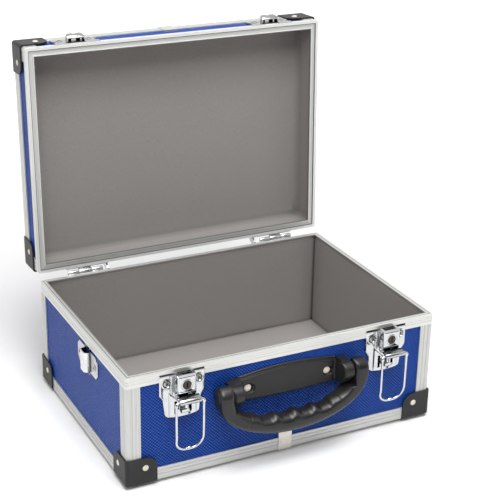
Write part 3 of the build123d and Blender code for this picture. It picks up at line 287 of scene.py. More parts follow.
def studio_world():
    """White where the camera looks, white with a dark room in front for what metal reflects, a soft fill."""
    world = bpy.data.worlds.new("studio")
    bpy.context.scene.world = world
    sky = Finish(world)
    camera_ray = sky.node("ShaderNodeLightPath", {}, {}, "Is Camera Ray")
    glossy_ray = sky.node("ShaderNodeLightPath", {}, {}, "Is Glossy Ray")
    direction = sky.node("ShaderNodeTexCoord", {}, {}, "Generated")
    height = sky.node("ShaderNodeSeparateXYZ", {}, [direction], "Z")
    depth = sky.node("ShaderNodeSeparateXYZ", {}, [direction], "Y")
    side = sky.node("ShaderNodeSeparateXYZ", {}, [direction], "X")
    ahead = (0.0 - depth).rise(0.1, 0.5)
    room = ahead * height.rise(0.02, 0.1) * (1.0 - height.rise(0.55, 0.75))
    bright = 1.0 - DARK_ROOM * room - RIGHT_SHADE * side.rise(0.3, 0.9)
    shine = sky.node("ShaderNodeBackground", {}, {"Color": WHITE, "Strength": bright.most(0.0)})
    soft = FILL + LEFT_PAPER * (0.0 - side).rise(0.0, 0.9) - FRONT_SHADE * ahead
    fill = sky.node("ShaderNodeBackground", {}, {"Color": WHITE, "Strength": soft.most(0.0)})
    white = sky.node("ShaderNodeBackground", {}, {"Color": WHITE, "Strength": 1.0})
    lit = sky.node("ShaderNodeMixShader", {}, [glossy_ray, fill, shine])
    seen = sky.node("ShaderNodeMixShader", {}, [camera_ray, lit, white])
    sky.node("ShaderNodeOutputWorld", {}, [seen])


def lamp(name, position, size, watts):
    """A square soft lamp that faces the middle of the case."""
    data = bpy.data.lights.new(name, "AREA")
    data.shape = "SQUARE"
    data.size = size
    data.energy = watts
    made = bpy.data.objects.new(name, data)
    facing = LAMP_AIM - Vector(position)
    made.matrix_world = Matrix.Translation(position) @ facing.to_track_quat("-Z", "Y").to_matrix().to_4x4()
    bpy.context.scene.collection.objects.link(made)


def floor_sheet():
    """A wide pale sheet. What looks at it, or mirrors it, sees it glow, and more so far away."""
    finish = new_finish("floor_paper")
    camera_ray = finish.node("ShaderNodeLightPath", {}, {}, "Is Camera Ray")
    glossy_ray = finish.node("ShaderNodeLightPath", {}, {}, "Is Glossy Ray")
    far = finish.node("ShaderNodeVectorMath", {"operation": "LENGTH"}, [finish.place()], "Value")
    share = camera_ray.most(glossy_ray) * (NEAR_GLOW + (1.0 - NEAR_GLOW) * far.rise(0.35, 1.3))
    glow = finish.mix(share, BLACK, WHITE)
    paper = finish.surface(Base_Color=PAPER, Roughness=0.9, Emission_Color=glow, Emission_Strength=PAPER_GLOW)
    corners = [(x * PAPER_HALF, y * PAPER_HALF, 0.0) for x, y in ((-1, -1), (1, -1), (1, 1), (-1, 1))]
    mesh = bpy.data.meshes.new("floor")
    mesh.from_pydata(corners, [], [(0, 1, 2, 3)])
    mesh.materials.append(paper)
    floor = bpy.data.objects.new("floor", mesh)
    bpy.context.scene.collection.objects.link(floor)


studio_world()
floor_sheet()
lamp("key", (-0.25, -0.95, 1.8), size=1.0, watts=30.0)
lamp("overhead", (0.1, -0.2, 1.9), size=1.1, watts=22.0)
lamp("side", (1.5, -0.9, 0.9), size=1.2, watts=4.0)
bpy.context.scene.view_settings.view_transform = "Standard"

# %% [markdown]
# The blue boards are thin laminate pressed with a fine diamond weave. Close up the pattern is a field of
# tiny pillows set on edge, with furrows between. Two diagonal coordinates make it: each pillow's height
# is the product of two sines, and that height also paints shade into the furrows and light onto the pillows.
# A pattern has to lie in its board's own plane, so each board says which two directions it uses.

# %% Blue laminate
PILLOW = 2.3
FURROW_SHADE_BLUE = paint(0.001, 0.002, 0.022)
PILLOW_LIT_BLUE = paint(0.012, 0.1, 0.56)
WORN_BLUE = paint(0.01, 0.035, 0.22)


def blue_laminate(name, across, along):
    """Pillow height = |sin(pi a / pitch)| |sin(pi b / pitch)|, a and b being the board's two diagonals."""
    finish = new_finish(name)
    u = finish.along(across)
    v = finish.along(along)
    scale = math.pi / (PILLOW * math.sqrt(2))
    height = ((u + v) * scale).sine().size() * ((u - v) * scale).sine().size()
    cloud = finish.noise(14.0, 3.0)
    # The pillow height also sets the colour: painted shade in the furrows, painted light on the pillow tops.
    tone = finish.mix(height.rise(0.12, 0.6), FURROW_SHADE_BLUE, PILLOW_LIT_BLUE)
    worn = finish.mix(cloud.rise(0.3, 0.9) * 0.12, tone, WORN_BLUE)
    rough = 0.38 + 0.12 * cloud
    normal = finish.bump(height, 0.5)
    return finish.surface(Base_Color=worn, Roughness=rough, Normal=normal, Specular_IOR_Level=0.18)


ACROSS = (1.0, 0.0, 0.0)
DEEP = (0.0, 1.0, 0.0)
UP = (0.0, 0.0, 1.0)
boards = {
    "base_panel_front": blue_laminate("blue_front", ACROSS, UP),
    "base_panel_left": blue_laminate("blue_side", DEEP, UP),
    "base_panel_bottom": blue_laminate("blue_under", ACROSS, DEEP),
    "lid_panel_front": blue_laminate("blue_lid_front", ACROSS, CLOSED_Z),
    "lid_panel_left": blue_laminate("blue_lid_side", CLOSED_Y, CLOSED_Z),
    "lid_panel_top": blue_laminate("blue_lid_top", ACROSS, CLOSED_Y),
}
boards["base_panel_rear"] = boards["base_panel_front"]
boards["base_panel_right"] = boards["base_panel_left"]
boards["lid_panel_rear"] = boards["lid_panel_front"]
boards["lid_panel_right"] = boards["lid_panel_left"]
print("laminates", len(set(boards.values())))

# %% [markdown]
# The edges are extruded aluminium. Pushing metal through a die leaves fine lines along its length, so the
# pattern must vary across the trim and never along it. On a trim that runs round the case that coordinate is
# the distance in from the edge plus the height, which turns every corner with the trim. On an upright angle
# it is the distance round the corner. A channel in the section is named by how far in its middle lies, half
# its width, and how much painted shade lies down in it.

# %% Satin aluminium
CHANNEL_SHADE = paint(0.16, 0.16, 0.165)


def aluminium(name, body, upright=False, shade=0.64, channels=(), metallic=0.75):
    """Lines along the extrusion, in a noise of one coordinate across it, and painted shade in its channels.
    """
    finish = new_finish(name)
    x, y, z = case_axes(finish, body)
    inward = (HALF_WIDTH - x.size()).least(HALF_DEPTH - y.size())
    across = x.size() + y.size() if upright else inward + z
    fine = finish.lines(across, 5.0, 3.0)
    broad = finish.lines(across, 0.6, 1.0)
    cloud = finish.noise(25.0, 2.0)
    lines = paint(0.9, 0.9, 0.87, share=shade)
    light = finish.mix(broad.rise(0.3, 0.7), lines, paint(1.0, 1.0, 0.97, share=shade))
    # Each channel holds painted shade: the metal is darkened there by the channel's share.
    for middle, half, shade_share in channels:
        sunk = (1.0 - ((inward - middle) / half).size().rise(0.35, 1.0)) * shade_share
        light = finish.mix(sunk, light, CHANNEL_SHADE)
    rough = 0.4 + 0.1 * fine + 0.06 * cloud
    normal = finish.bump(fine, 0.02, 0.6)
    return finish.surface(Base_Color=light, Metallic=metallic, Roughness=rough, Normal=normal)


base_channels = [(2.8, 0.7, 0.75), (5.6, 1.2, 0.6)]
lid_channels = [(3.5, 0.7, 1.0), (6.0, 2.4, 0.3), (9.1, 0.8, 1.0)]
# Each trim's shade argument is its own tone of the one aluminium, lighter or darker as a painted shade for
# how brightly that trim is lit.
trims = {
    "base_rim": aluminium("rim_base", "base", shade=0.74, channels=base_channels),
    "base_bottom_trim": aluminium("trim_base", "base"),
    "base_corner_trims": aluminium("trim_base_upright", "base", upright=True, shade=0.6),
    "lid_rim": aluminium("rim_lid", "lid", shade=0.7, channels=lid_channels, metallic=0.35),
    "lid_top_trim": aluminium("trim_lid", "lid"),
    "lid_corner_trims": aluminium("trim_lid_upright", "lid", upright=True),
}
print("trims", len(trims))

# %% [markdown]
# The caps and the handle are black moulded plastic with a leathery grain that scatters light, a little paler
# where they are rubbed. The feet are rubber, greyer and duller. One recipe does them all, with other numbers.

# %% Black plastic and rubber
HOLLOW_SHADE = paint(0.001, 0.001, 0.001)


def grained_black(name, tone, rough, grain_per_m, grain_mm):
    """Matte black whose grain and tone both come from noise, with a coarse cloud for handling marks, and
    painted shade where its piece says.
    """
    finish = new_finish(name)
    grain = finish.noise(grain_per_m, 4.0, 0.6)
    cloud = finish.noise(30.0, 3.0)
    dark = paint(0.88, 0.8, 0.8, share=tone)
    pale = paint(1.45, 1.32, 1.3, share=tone)
    black = finish.mix(cloud.rise(0.35, 0.75), dark, pale)
    # Painted shade, near black, in the hollows that the piece marks.
    black = finish.mix(finish.recess_shade(), black, HOLLOW_SHADE)
    rough = rough + 0.15 * cloud - 0.06 * grain
    normal = finish.bump(grain, grain_mm, 0.7)
    return finish.surface(Base_Color=black, Roughness=rough, Normal=normal, Specular_IOR_Level=0.4)


cap_black = grained_black("cap_black", tone=0.012, rough=0.45, grain_per_m=700.0, grain_mm=0.12)
foot_rubber = grained_black("foot_rubber", tone=0.022, rough=0.75, grain_per_m=500.0, grain_mm=0.1)
plate_black = grained_black("handle_plate_black", tone=0.012, rough=0.42, grain_per_m=900.0, grain_mm=0.05)
grip_black = grained_black("handle_grip_black", tone=0.013, rough=0.28, grain_per_m=1100.0, grain_mm=0.03)

# %% [markdown]
# The latches are bright plated pressings, the hinges and brackets plainer zinc plate, the pins bare steel.
# Plating is never a perfect mirror: slow waves left by the press bend the reflections, and wiping leaves
# hazy patches. Waves go into the bump, haze into the roughness.

# %% Plated metals
# The dark colour below is painted shade, laid in a piece's recesses and where a function of place puts it.
SHADE_BLACK = paint(0.012, 0.012, 0.014)


def plated(name, rgb, rough, haze, wave_mm=0.3, shade_by_place=None):
    """Metal with slow pressing waves and hazy patches, with painted shade in the recesses and other places
    that the piece or a function of place gives.
    """
    finish = new_finish(name)
    wave = finish.noise(60.0, 1.0)
    patch = finish.noise(180.0, 3.0)
    sunk = shade_by_place(finish) if shade_by_place else finish.recess_shade()
    metal = finish.mix(patch.rise(0.3, 0.8), paint(*rgb), paint(*rgb, share=0.9))
    tone = finish.mix(sunk, metal, SHADE_BLACK)
    normal = finish.bump(wave, wave_mm)
    return finish.surface(Base_Color=tone, Metallic=1.0, Roughness=rough + haze * patch, Normal=normal)


BRACKET_Y = -20.0
BRIDGE_HALF = 7.0
BRIDGE_OUT = 5.8


def bracket_shade(finish):
    """Painted shade along the feet of a bracket's bridge, in the passage behind it and, fainter, over the
    ears, by place alone.
    """
    x, y, z = case_axes(finish, "base")
    out = x.size() - HALF_WIDTH
    aside = (y - BRACKET_Y).size()
    foot = (1.0 - (aside - BRIDGE_HALF).size().rise(0.3, 1.5)) * (1.0 - out.rise(0.3, 1.8))
    under = 1.0 - out.rise(BRIDGE_OUT - 2.6, BRIDGE_OUT - 1.6)
    passage = (1.0 - aside.rise(BRIDGE_HALF - 1.3, BRIDGE_HALF - 0.9)) * under
    ears = 0.3 * aside.rise(BRIDGE_HALF, BRIDGE_HALF + 1.5)
    return (0.9 * foot).most(0.9 * passage).most(ears)


LATCH_X = 106.0
ROLL_Y = FRONT - 17.7
ROLL_Z = SEAM - 25.0


def lever_shade(finish):
    """Painted shade where the lever's shelf runs back to the box, and under the roll."""
    y = finish.along(DEEP)
    z = finish.along(UP)
    shelf = 0.9 * y.rise(ROLL_Y + 1.4, ROLL_Y + 4.2)
    under = 0.85 * (1.0 - z.rise(ROLL_Z - 1.7, ROLL_Z - 0.7))
    return shelf.most(under)


HOOD_LOW = SEAM + 6.5
HOOD_RISE = 6.4
HOOD_HALF = 7.9
HOOD_REACH = 6.9
HOOD_SINK = 3.0
HOOD_CEILING = HOOD_LOW + 7.2


def keeper_shade(finish):
    """Painted shade inside a keeper's hood. Its wall is reach - sink t^2 out, t being 1 at the mouth and 0 on
    top.
    """
    x, y, z = case_axes(finish, "lid")
    out = 0.0 - y - HALF_DEPTH
    aside = (x.size() - LATCH_X).size()
    down = (HOOD_LOW + HOOD_RISE - z) / HOOD_RISE
    deep = 1.0 - (out - HOOD_REACH + HOOD_SINK * down * down).rise(0.1, 0.5)
    under = 1.0 - z.rise(HOOD_CEILING, HOOD_CEILING + 0.4)
    return 0.95 * deep * under * (1.0 - aside.rise(HOOD_HALF + 0.1, HOOD_HALF + 0.5))


chrome = plated("latch_chrome", (0.62, 0.63, 0.64), 0.05, 0.1)
# The lever's chrome is the latch's chrome made darker, a painted shade.
lever_chrome_shaded = plated("lever_chrome_shaded", (0.46, 0.47, 0.48), 0.05, 0.1, shade_by_place=lever_shade)
keeper_steel = plated("keeper_steel", (0.44, 0.44, 0.45), 0.12, 0.15, shade_by_place=keeper_shade)
fitting_steel = plated("fitting_steel", (0.6, 0.6, 0.61), 0.14, 0.2)
bracket_steel = plated("bracket_steel", (0.74, 0.74, 0.75), 0.14, 0.2, shade_by_place=bracket_shade)
pin_steel = plated("pin_steel", (0.62, 0.61, 0.6), 0.2, 0.2, wave_mm=0.1)
# The lock cylinder is near black, a painted shade for the dark of its keyhole.
lock_metal_shaded = plated("lock_metal_shaded", (0.07, 0.063, 0.055), 0.25, 0.2, wave_mm=0.1)
clip_steel = plated("clip_steel", (0.72, 0.69, 0.63), 0.38, 0.2, wave_mm=0.2)
print("materials", len(bpy.data.materials))

# %% [markdown]
# The rivets in the caps and in the handle are enamelled cream. Enamel is a hard, glossy coat that chips, so a
# noise bares the metal in a few places.

# %% Cream enamel
DEEP_CREAM = paint(0.66, 0.6, 0.47)
PALE_CREAM = paint(0.78, 0.73, 0.62)
BARE_METAL = paint(0.45, 0.42, 0.38)
RIM_SHADE = paint(0.05, 0.04, 0.03)


def cream_enamel():
    """Enamel of two creams, chipped here and there, with painted shade in the ring round the head."""
    finish = new_finish("rivet_cream")
    chips = finish.noise(420.0, 3.0, 0.6)
    cloud = finish.noise(90.0, 2.0)
    enamel = finish.mix(cloud.rise(0.3, 0.7), DEEP_CREAM, PALE_CREAM)
    chipped = finish.mix(chips.rise(0.66, 0.74), enamel, BARE_METAL)
    tone = finish.mix(finish.recess_shade(), chipped, RIM_SHADE)
    rough = 0.32 + 0.2 * chips
    normal = finish.bump(cloud, 0.08, 0.6)
    return finish.surface(Base_Color=tone, Roughness=rough, Normal=normal)


rivet_cream = cream_enamel()

# %% [markdown]
# The boards are lined with short grey felt. At arm's length felt has no weave: it is a mat of fibres, so the
# finish is fine noise in two sizes, for the nap and its tufts, and a faint cloud where the nap lies another
# way. A little sheen lifts it at grazing angles, as fibres do.

# %% Grey felt
DEEP_FELT = paint(0.225, 0.211, 0.202)
PALE_FELT = paint(0.33, 0.31, 0.297)
LAID_FELT = paint(0.25, 0.236, 0.226)
FELT_SHADE = paint(0.02, 0.018, 0.017)


def grey_felt():
    """A nap of fine noise over tufts, with patches where it lies another way, and painted shade along its
    seams and in its corners.
    """
    finish = new_finish("lining_felt")
    nap = finish.noise(1500.0, 3.0, 0.7)
    tuft = finish.noise(420.0, 3.0, 0.6)
    cloud = finish.noise(9.0, 3.0)
    fibre = finish.mix(nap.rise(0.25, 0.8), DEEP_FELT, PALE_FELT)
    laid = finish.mix(cloud.rise(0.3, 0.75) * 0.4, fibre, LAID_FELT)
    tone = finish.mix(finish.recess_shade(), laid, FELT_SHADE)
    normal = finish.bump(nap + 0.8 * tuft, 0.25, 0.6)
    sheen = {"Sheen_Weight": 0.12, "Sheen_Roughness": 0.5, "Specular_IOR_Level": 0.2}
    return finish.surface(Base_Color=tone, Roughness=0.95, Normal=normal, **sheen)


lining_felt = grey_felt()

# %% [markdown]
# Most CAD solids have the right shape already. They only lack what every made thing has, a soft edge that
# catches the light. A CAD mesh is loose triangles, so Weld joins them first, and then Bevel rounds only the
# edges that really turn. Neither changes the mesh itself. Thin sheet gets a narrow edge, moulded plastic a
# wider one.

# %% Dress the CAD solids
WELD_REACH = 0.01
SHARP_TURN = math.radians(32)


def dress(node, material, edge_mm):
    """A finish for a CAD solid, and a narrow rounding of its edges."""
    solid = frame["nodes"][node]
    for holder in solid.material_slots:
        holder.material = material
    weld = solid.modifiers.new("weld", "WELD")
    weld.merge_threshold = WELD_REACH * MM
    soft = solid.modifiers.new("soft_edges", "BEVEL")
    soft.width = edge_mm * MM
    soft.segments = 2
    soft.limit_method = "ANGLE"
    soft.angle_limit = SHARP_TURN
    soft.use_clamp_overlap = True


for name, material in boards.items():
    dress(name, material, edge_mm=0.15)
for name, material in trims.items():
    dress(name, material, edge_mm=0.12)
for body in ("base", "lid"):
    dress(f"{body}_trim_clip", clip_steel, edge_mm=0.15)
    for corner in ("front_left", "front_right", "rear_left", "rear_right"):
        dress(f"{body}_cap_{corner}", cap_black, edge_mm=0.4)
dress("feet", foot_rubber, edge_mm=0.35)
for side in ("left", "right"):
    dress(f"lock_box_{side}", chrome, edge_mm=0.2)
    dress(f"lock_cylinder_{side}", lock_metal_shaded, edge_mm=0.1)
    dress(f"latch_lever_{side}", lever_chrome_shaded, edge_mm=0.2)
    dress(f"keeper_{side}", keeper_steel, edge_mm=0.2)
    dress(f"strap_bracket_{side}", bracket_steel, edge_mm=0.2)
    for body in ("base", "lid"):
        dress(f"hinge_{body}_leaf_{side}", fitting_steel, edge_mm=0.15)
for pins in ("latch_lever_pins", "hinge_pins", "handle_pins"):
    dress(pins, pin_steel, edge_mm=0.1)
print("dressed", sum(1 for o in frame["nodes"].values() if o.modifiers))

# %% [markdown]
# The other pieces get new surfaces. Nearly all of them are stacks of rings: a rivet, a wire, a grip. Others
# are reliefs, a grid of heights over a flat back, or hoops, a section carried round the case and joined to
# itself. Three ways of making faces, then, and one function that turns arrays into a piece.

# %% Meshes from arrays
def add_piece(name, form, material, body, stands_for=(), sharp=38.0):
    """A form becomes a piece that rides on a body and stands for some nodes. A form is points in
    millimetres, faces and, where it has painted shade, how dark each of its first points is painted."""
    points, faces, *recess_shade = form
    mesh = bpy.data.meshes.new(name)
    mesh.from_pydata((np.asarray(points) * MM).tolist(), [], faces)
    mesh.materials.append(material)
    mesh.shade_smooth()
    mesh.set_sharp_from_angle(angle=math.radians(sharp))
    for depth in recess_shade:
        shade = np.zeros(len(points), np.float32)
        shade[: depth.size] = np.clip(depth.ravel(), 0.0, 1.0)
        mesh.attributes.new("recess_shade", "FLOAT", "POINT").data.foreach_set("value", shade)
    piece = bpy.data.objects.new(name, mesh)
    bpy.context.scene.collection.objects.link(piece)
    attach(piece, body)
    if stands_for:
        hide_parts(*stands_for)
    print(name, len(points), "points", len(faces), "faces")
    return piece


def quads(rows, columns, wrap_rows=False):
    """Faces of a grid whose columns wrap round, and its rows too if the grid is a closed hoop."""
    row = np.arange(rows if wrap_rows else rows - 1)[:, None]
    after_row = (row + 1) % rows * columns
    row = row * columns
    column = np.arange(columns)[None, :]
    after = (column + 1) % columns
    corners = np.stack([row + column, row + after, after_row + after, after_row + column], axis=-1)
    return corners.reshape(-1, 4).tolist()


def stack_faces(rings, sides):
    """A stack of rings with a polygon over each end."""
    last = (rings - 1) * sides
    ends = [list(range(sides))[::-1], list(range(last, last + sides))]
    return quads(rings, sides) + ends


def joined(parts):
    """Several forms as one."""
    points = []
    faces = []
    count = 0
    for own_points, own_faces in parts:
        faces += [[count + corner for corner in face] for face in own_faces]
        points.append(own_points)
        count += len(own_points)
    return np.concatenate(points), faces


def stack(rings):
    """One stack of rings as a form."""
    return rings.reshape(-1, 3), stack_faces(*rings.shape[:2])


def stacks(arrays):
    """Several stacks of rings as one form."""
    return joined([stack(rings) for rings in arrays])


def unit(vector):
    return vector / np.linalg.norm(vector, axis=-1, keepdims=True)


# %% [markdown]
# A tubular rivet is turned work: a low dome rolled over the sheet, with the tube's dimple in its middle. Its
# outline is a short list of radii and heights, turned about the rivet's line. The same lathe makes the cream
# ones, which have no dimple, and the plated ones. The first and last radius are almost nothing, which closes
# the pole.

# %% Rivets
RIVET_SIDES = 28
RIVET_RADIUS = 3.05
RIVET_RISE = 0.95
RIVET_ARRIS = 0.15
HANDLE_RIVET_RADIUS = 3.8
DIMPLE = 0.35
DIMPLE_SHARE = 0.28
DIMPLE_DARK = 0.45
PLATED_GREY = 0.3
TIP = 0.02
SHARE = np.linspace(1.0, 0.0, 16)[:-1]


def rivet_outline(dimple, radius):
    """Radius and height from the hidden back over the dome: rise (1 - share^3), less the dimple."""
    dome = RIVET_RISE * (1.0 - SHARE**3)
    bowl = dimple * (1.0 - np.clip((SHARE - DIMPLE_SHARE) / 0.14, 0.0, 1.0))
    radii = np.concatenate([[TIP, radius - RIVET_ARRIS, radius], radius * SHARE, [TIP]])
    back = [-2 * RIVET_ARRIS, -2 * RIVET_ARRIS, -RIVET_ARRIS]
    return radii, np.concatenate([back, dome - bowl, [RIVET_RISE - dimple]])


def rivet_shade(dimple, count):
    """How dark each point of so many rivets is painted: shade at the rolled edge and in the dimple's wall and
    floor, and a grey over all of a plated head.
    """
    edge = 0.75 * np.clip((SHARE - 0.88) / 0.1, 0.0, 1.0)
    bowl = 0.85 * np.exp(-(((SHARE - 0.33) / 0.1) ** 2)) + DIMPLE_DARK * (SHARE < DIMPLE_SHARE)
    dimpled = dimple > 0.0
    rows = np.concatenate([[1.0, 1.0, 1.0], edge + bowl * dimpled, [DIMPLE_DARK * dimpled]])
    rows = rows + PLATED_GREY * dimpled
    return np.tile(np.repeat(rows, RIVET_SIDES), count)


def lathe(outline, base, direction):
    """Every radius and height of an outline swung about a line through base."""
    radii, heights = outline
    axis = np.asarray(direction, float)
    side = unit(np.cross(axis, (0.0, 0.0, 1.0)))
    other = np.cross(axis, side)
    turn = np.arange(RIVET_SIDES) * 2 * math.pi / RIVET_SIDES
    spokes = np.cos(turn)[:, None] * side + np.sin(turn)[:, None] * other
    return np.asarray(base) + radii[:, None, None] * spokes + heights[:, None, None] * axis


OUT_FRONT = (0.0, -1.0, 0.0)
OUT_REAR = (0.0, 1.0, 0.0)
CAP_WALL = 1.6
CAP_RIVET_IN = 17.5
CAP_RIVET_RISE = 20.0
LID_CAP_RIVET_DROP = 16.0
LATCH_MIDDLES = (-LATCH_X, LATCH_X)
HINGE_MIDDLES = (-110.0, 110.0)
PLATE_FACE = FRONT - 1.0
HINGE_FACE = REAR + 1.2
RIVET_X = 15.4
RIVET_Z = SEAM - 12.7
KEEPER_RIVET_X = 15.0
KEEPER_RIVET_Z = SEAM + 13.3
HINGE_RIVET_X = 17.0
HINGE_RIVET_RISE = 14.0
BRACKET_RIVET_Y = 19.3
BRACKET_Z = 87.5
HANDLE_SEAT = FRONT - 1.4
HANDLE_RIVET_X = 41.5
HANDLE_RIVET_Z = 78.5


def cap_places(z):
    """Where the rivets sit and which way they face: one in each upright plate of four caps."""
    places = []
    for x_side in (-1, 1):
        for y_side in (-1, 1):
            x = x_side * (HALF_WIDTH - CAP_RIVET_IN)
            y = MIDDLE_Y + y_side * (HALF_DEPTH - CAP_RIVET_IN)
            places.append(((x, MIDDLE_Y + y_side * (HALF_DEPTH + CAP_WALL), z), (0.0, y_side, 0.0)))
            places.append(((x_side * (HALF_WIDTH + CAP_WALL), y, z), (x_side, 0.0, 0.0)))
    return places


def pairs(middles, offset, y, z, direction):
    """A place each side of every middle, all at one depth and height."""
    return [((middle + side * offset, y, z), direction) for middle in middles for side in (-1, 1)]


def add_rivets(name, places, body, stands_for=(), dimple=0.0, radius=RIVET_RADIUS):
    """The rivets at some places as one piece, plated if they have a dimple and cream if they have none.
    Those of the lid are given closed and swing open with it."""
    material, slot = (pin_steel, "pin_steel") if dimple else (rivet_cream, "rivet_cream")
    rings = [lathe(rivet_outline(dimple, radius), base, direction) for base, direction in places]
    if body == "lid":
        rings = [opened(ring) for ring in rings]
    form = (*stacks(rings), rivet_shade(dimple, len(places)))
    add_piece(name, form, material, body, stands_for)


add_rivets("base_cap_rivet_heads", cap_places(CAP_RIVET_RISE), "base", ["base_cap_rivets"])
add_rivets("lid_cap_rivet_heads", cap_places(LID_TOP - LID_CAP_RIVET_DROP), "lid", ["lid_cap_rivets"])

places = pairs(LATCH_MIDDLES, RIVET_X, PLATE_FACE, RIVET_Z, OUT_FRONT)
places += pairs(HINGE_MIDDLES, HINGE_RIVET_X, HINGE_FACE, SEAM - HINGE_RIVET_RISE, OUT_REAR)
for side in (-1.0, 1.0):
    for along in (-BRACKET_RIVET_Y, BRACKET_RIVET_Y):
        places.append(((side * HALF_WIDTH, MIDDLE_Y + BRACKET_Y + along, BRACKET_Z), (side, 0.0, 0.0)))
add_rivets("fitting_rivet_heads", places, "base", ["fitting_rivets"], DIMPLE)
places = pairs((0.0,), HANDLE_RIVET_X, HANDLE_SEAT, HANDLE_RIVET_Z, OUT_FRONT)
add_rivets("handle_rivet_heads", places, "base", radius=HANDLE_RIVET_RADIUS)
places = pairs(LATCH_MIDDLES, KEEPER_RIVET_X, PLATE_FACE, KEEPER_RIVET_Z, OUT_FRONT)
places += pairs(HINGE_MIDDLES, HINGE_RIVET_X, HINGE_FACE, SEAM + HINGE_RIVET_RISE, OUT_REAR)
add_rivets("lid_fitting_rivet_heads", places, "lid", ["lid_fitting_rivets"], DIMPLE)

# %% [markdown]
# The bail is one bent wire: its two ends turn into the lever's roll, its legs hang down, and its foot leans
# in towards the case so that it can hook on the keeper. A wire is a circle carried along a line. The line is
# straight runs with an arc at each bend, and the circle swells a little at the legs' tops and where the
# wire is pressed at the middle of the foot.

# %% The wire bails
WIRE = 1.15
BAIL_END = 7.9
BAIL_FOOT = 13.5
BAIL_SET = 3.0
BAIL_TAPER = 0.3
BEAD_IN = 1.2
LEG_BEAD = (1.7, 0.75)
FOOT_BEAD = (1.5, 0.7)
FOOT_LIFT = (1.8, 0.5)
EYE_BEND = 2.0
KNEE_BEND = 10.0
FOOT_BEND = 11.0
WIRE_SIDES = 16


def bent_line(corners, radii, step=0.7):
    """Straight runs with an arc at each corner that touches both runs, in nearly even steps."""
    corners = np.asarray(corners, float)
    parts = [corners[:1]]
    for before, here, after, radius in zip(corners, corners[1:], corners[2:], radii):
        back_way = unit(before - here)
        on_way = unit(after - here)
        half = math.acos(float(back_way @ on_way)) / 2
        reach = radius / math.tan(half)
        centre = here + unit(back_way + on_way) * radius / math.sin(half)
        span = math.pi - 2 * half
        share = np.linspace(0.0, 1.0, max(4, round(radius * span / step)))[:, None]
        start = here + back_way * reach - centre
        end = here + on_way * reach - centre
        arc = (start * np.sin((1 - share) * span) + end * np.sin(share * span)) / math.sin(span)
        parts.append(centre + arc)
    parts.append(corners[-1:])
    line = np.concatenate(parts)
    length = np.concatenate([[0.0], np.cumsum(np.linalg.norm(np.diff(line, axis=0), axis=1))])
    even = np.linspace(0.0, length[-1], round(length[-1] / step))
    return np.stack([np.interp(even, length, line[:, k]) for k in range(3)], axis=1), even


def tube(line, radius):
    """A circle of the given radius carried along a line that never runs along Y."""
    ahead = unit(np.gradient(line, axis=0))
    side = unit(np.cross(ahead, (0.0, 1.0, 0.0)))
    other = np.cross(ahead, side)
    turn = np.arange(WIRE_SIDES)[None, :, None] * 2 * math.pi / WIRE_SIDES
    spokes = np.cos(turn) * side[:, None] + np.sin(turn) * other[:, None]
    return line[:, None] + radius[:, None, None] * spokes


def swelling(length, at, width, rise):
    """A bell of some width and rise about one length along the wire."""
    return rise * np.exp(-(((length - at) / width) ** 2))


def bail(side):
    """From the roll's end out to the leg, down to the knee, in to the foot, and the same back."""
    low, high = low_high(f"latch_bail_{side}")
    middle = (low[0] + high[0]) / 2
    half = (high[0] - low[0]) / 2 - WIRE
    top = high[2] - WIRE
    bottom = low[2] + WIRE
    y = low[1] + WIRE
    foot = half - BAIL_TAPER
    knee = bottom + BAIL_FOOT
    corners = [(-half + BAIL_END, y, top), (-half, y, top), (-foot, y, knee), (-foot, y + BAIL_SET, bottom)]
    corners += [(-x, y, z) for x, y, z in corners[::-1]]
    line, length = bent_line(corners, [EYE_BEND, KNEE_BEND, FOOT_BEND, FOOT_BEND, KNEE_BEND, EYE_BEND])
    line[:, 0] += middle
    total = length[-1]
    radius = np.full(len(line), WIRE)
    for at in (BAIL_END + BEAD_IN, total - BAIL_END - BEAD_IN):
        radius += swelling(length, at, *LEG_BEAD)
    radius += swelling(length, total / 2, *FOOT_BEAD)
    line[:, 2] += swelling(length, total / 2, *FOOT_LIFT)
    return stack(tube(line, radius))


for side in ("left", "right"):
    stands_for = [f"latch_bail_{side}"]
    add_piece(f"bail_wire_{side}", bail(side), chrome, f"bail_{side}", stands_for)

# %% [markdown]
# A stamped plate is a relief: over a flat outline it stands out by a height that is a sum of simple steps.
# Smooth steps keep the die's soft corners. A pressed line is a smooth bell across the line, and a list of
# such lines gives where each one lies, its width and its height. The grid's columns follow the outline's
# width, so its edges stay clean, and the border drops to the board behind.

# %% Reliefs
def smooth(value, low, high):
    """0 below low, 1 above high, and a smooth curve between."""
    share = np.clip((value - low) / (high - low), 0.0, 1.0)
    return share * share * (3.0 - 2.0 * share)


def bell(distance, width):
    """1 at distance 0, falling smoothly to 0 at the width."""
    return 1.0 - smooth(np.abs(distance), 0.0, width)


def pressed(distance, lines):
    """The sum of some pressed lines, each one a distance, a width and a height."""
    return sum(rise * bell(distance - at, width) for at, width, rise in lines)


def relief(x, z, height, back_y):
    """A grid of heights in front of a flat back, with its border walled down to that back."""
    rows, columns = x.shape
    front = np.stack([x, back_y - height, z], axis=-1)
    index = np.arange(rows * columns).reshape(rows, columns)
    corners = np.stack([index[:-1, :-1], index[:-1, 1:], index[1:, 1:], index[1:, :-1]], axis=-1)
    border = np.concatenate([index[0, :], index[1:, -1], index[-1, -2::-1], index[-2:0:-1, 0]])
    rim = front.reshape(-1, 3)[border].copy()
    rim[:, 1] = back_y
    behind = rows * columns + np.arange(len(border))
    walls = np.stack([border, behind, np.roll(behind, -1), np.roll(border, -1)], axis=-1)
    faces = corners.reshape(-1, 4).tolist() + walls.tolist() + [behind[::-1].tolist()]
    return np.concatenate([front.reshape(-1, 3), rim]), faces
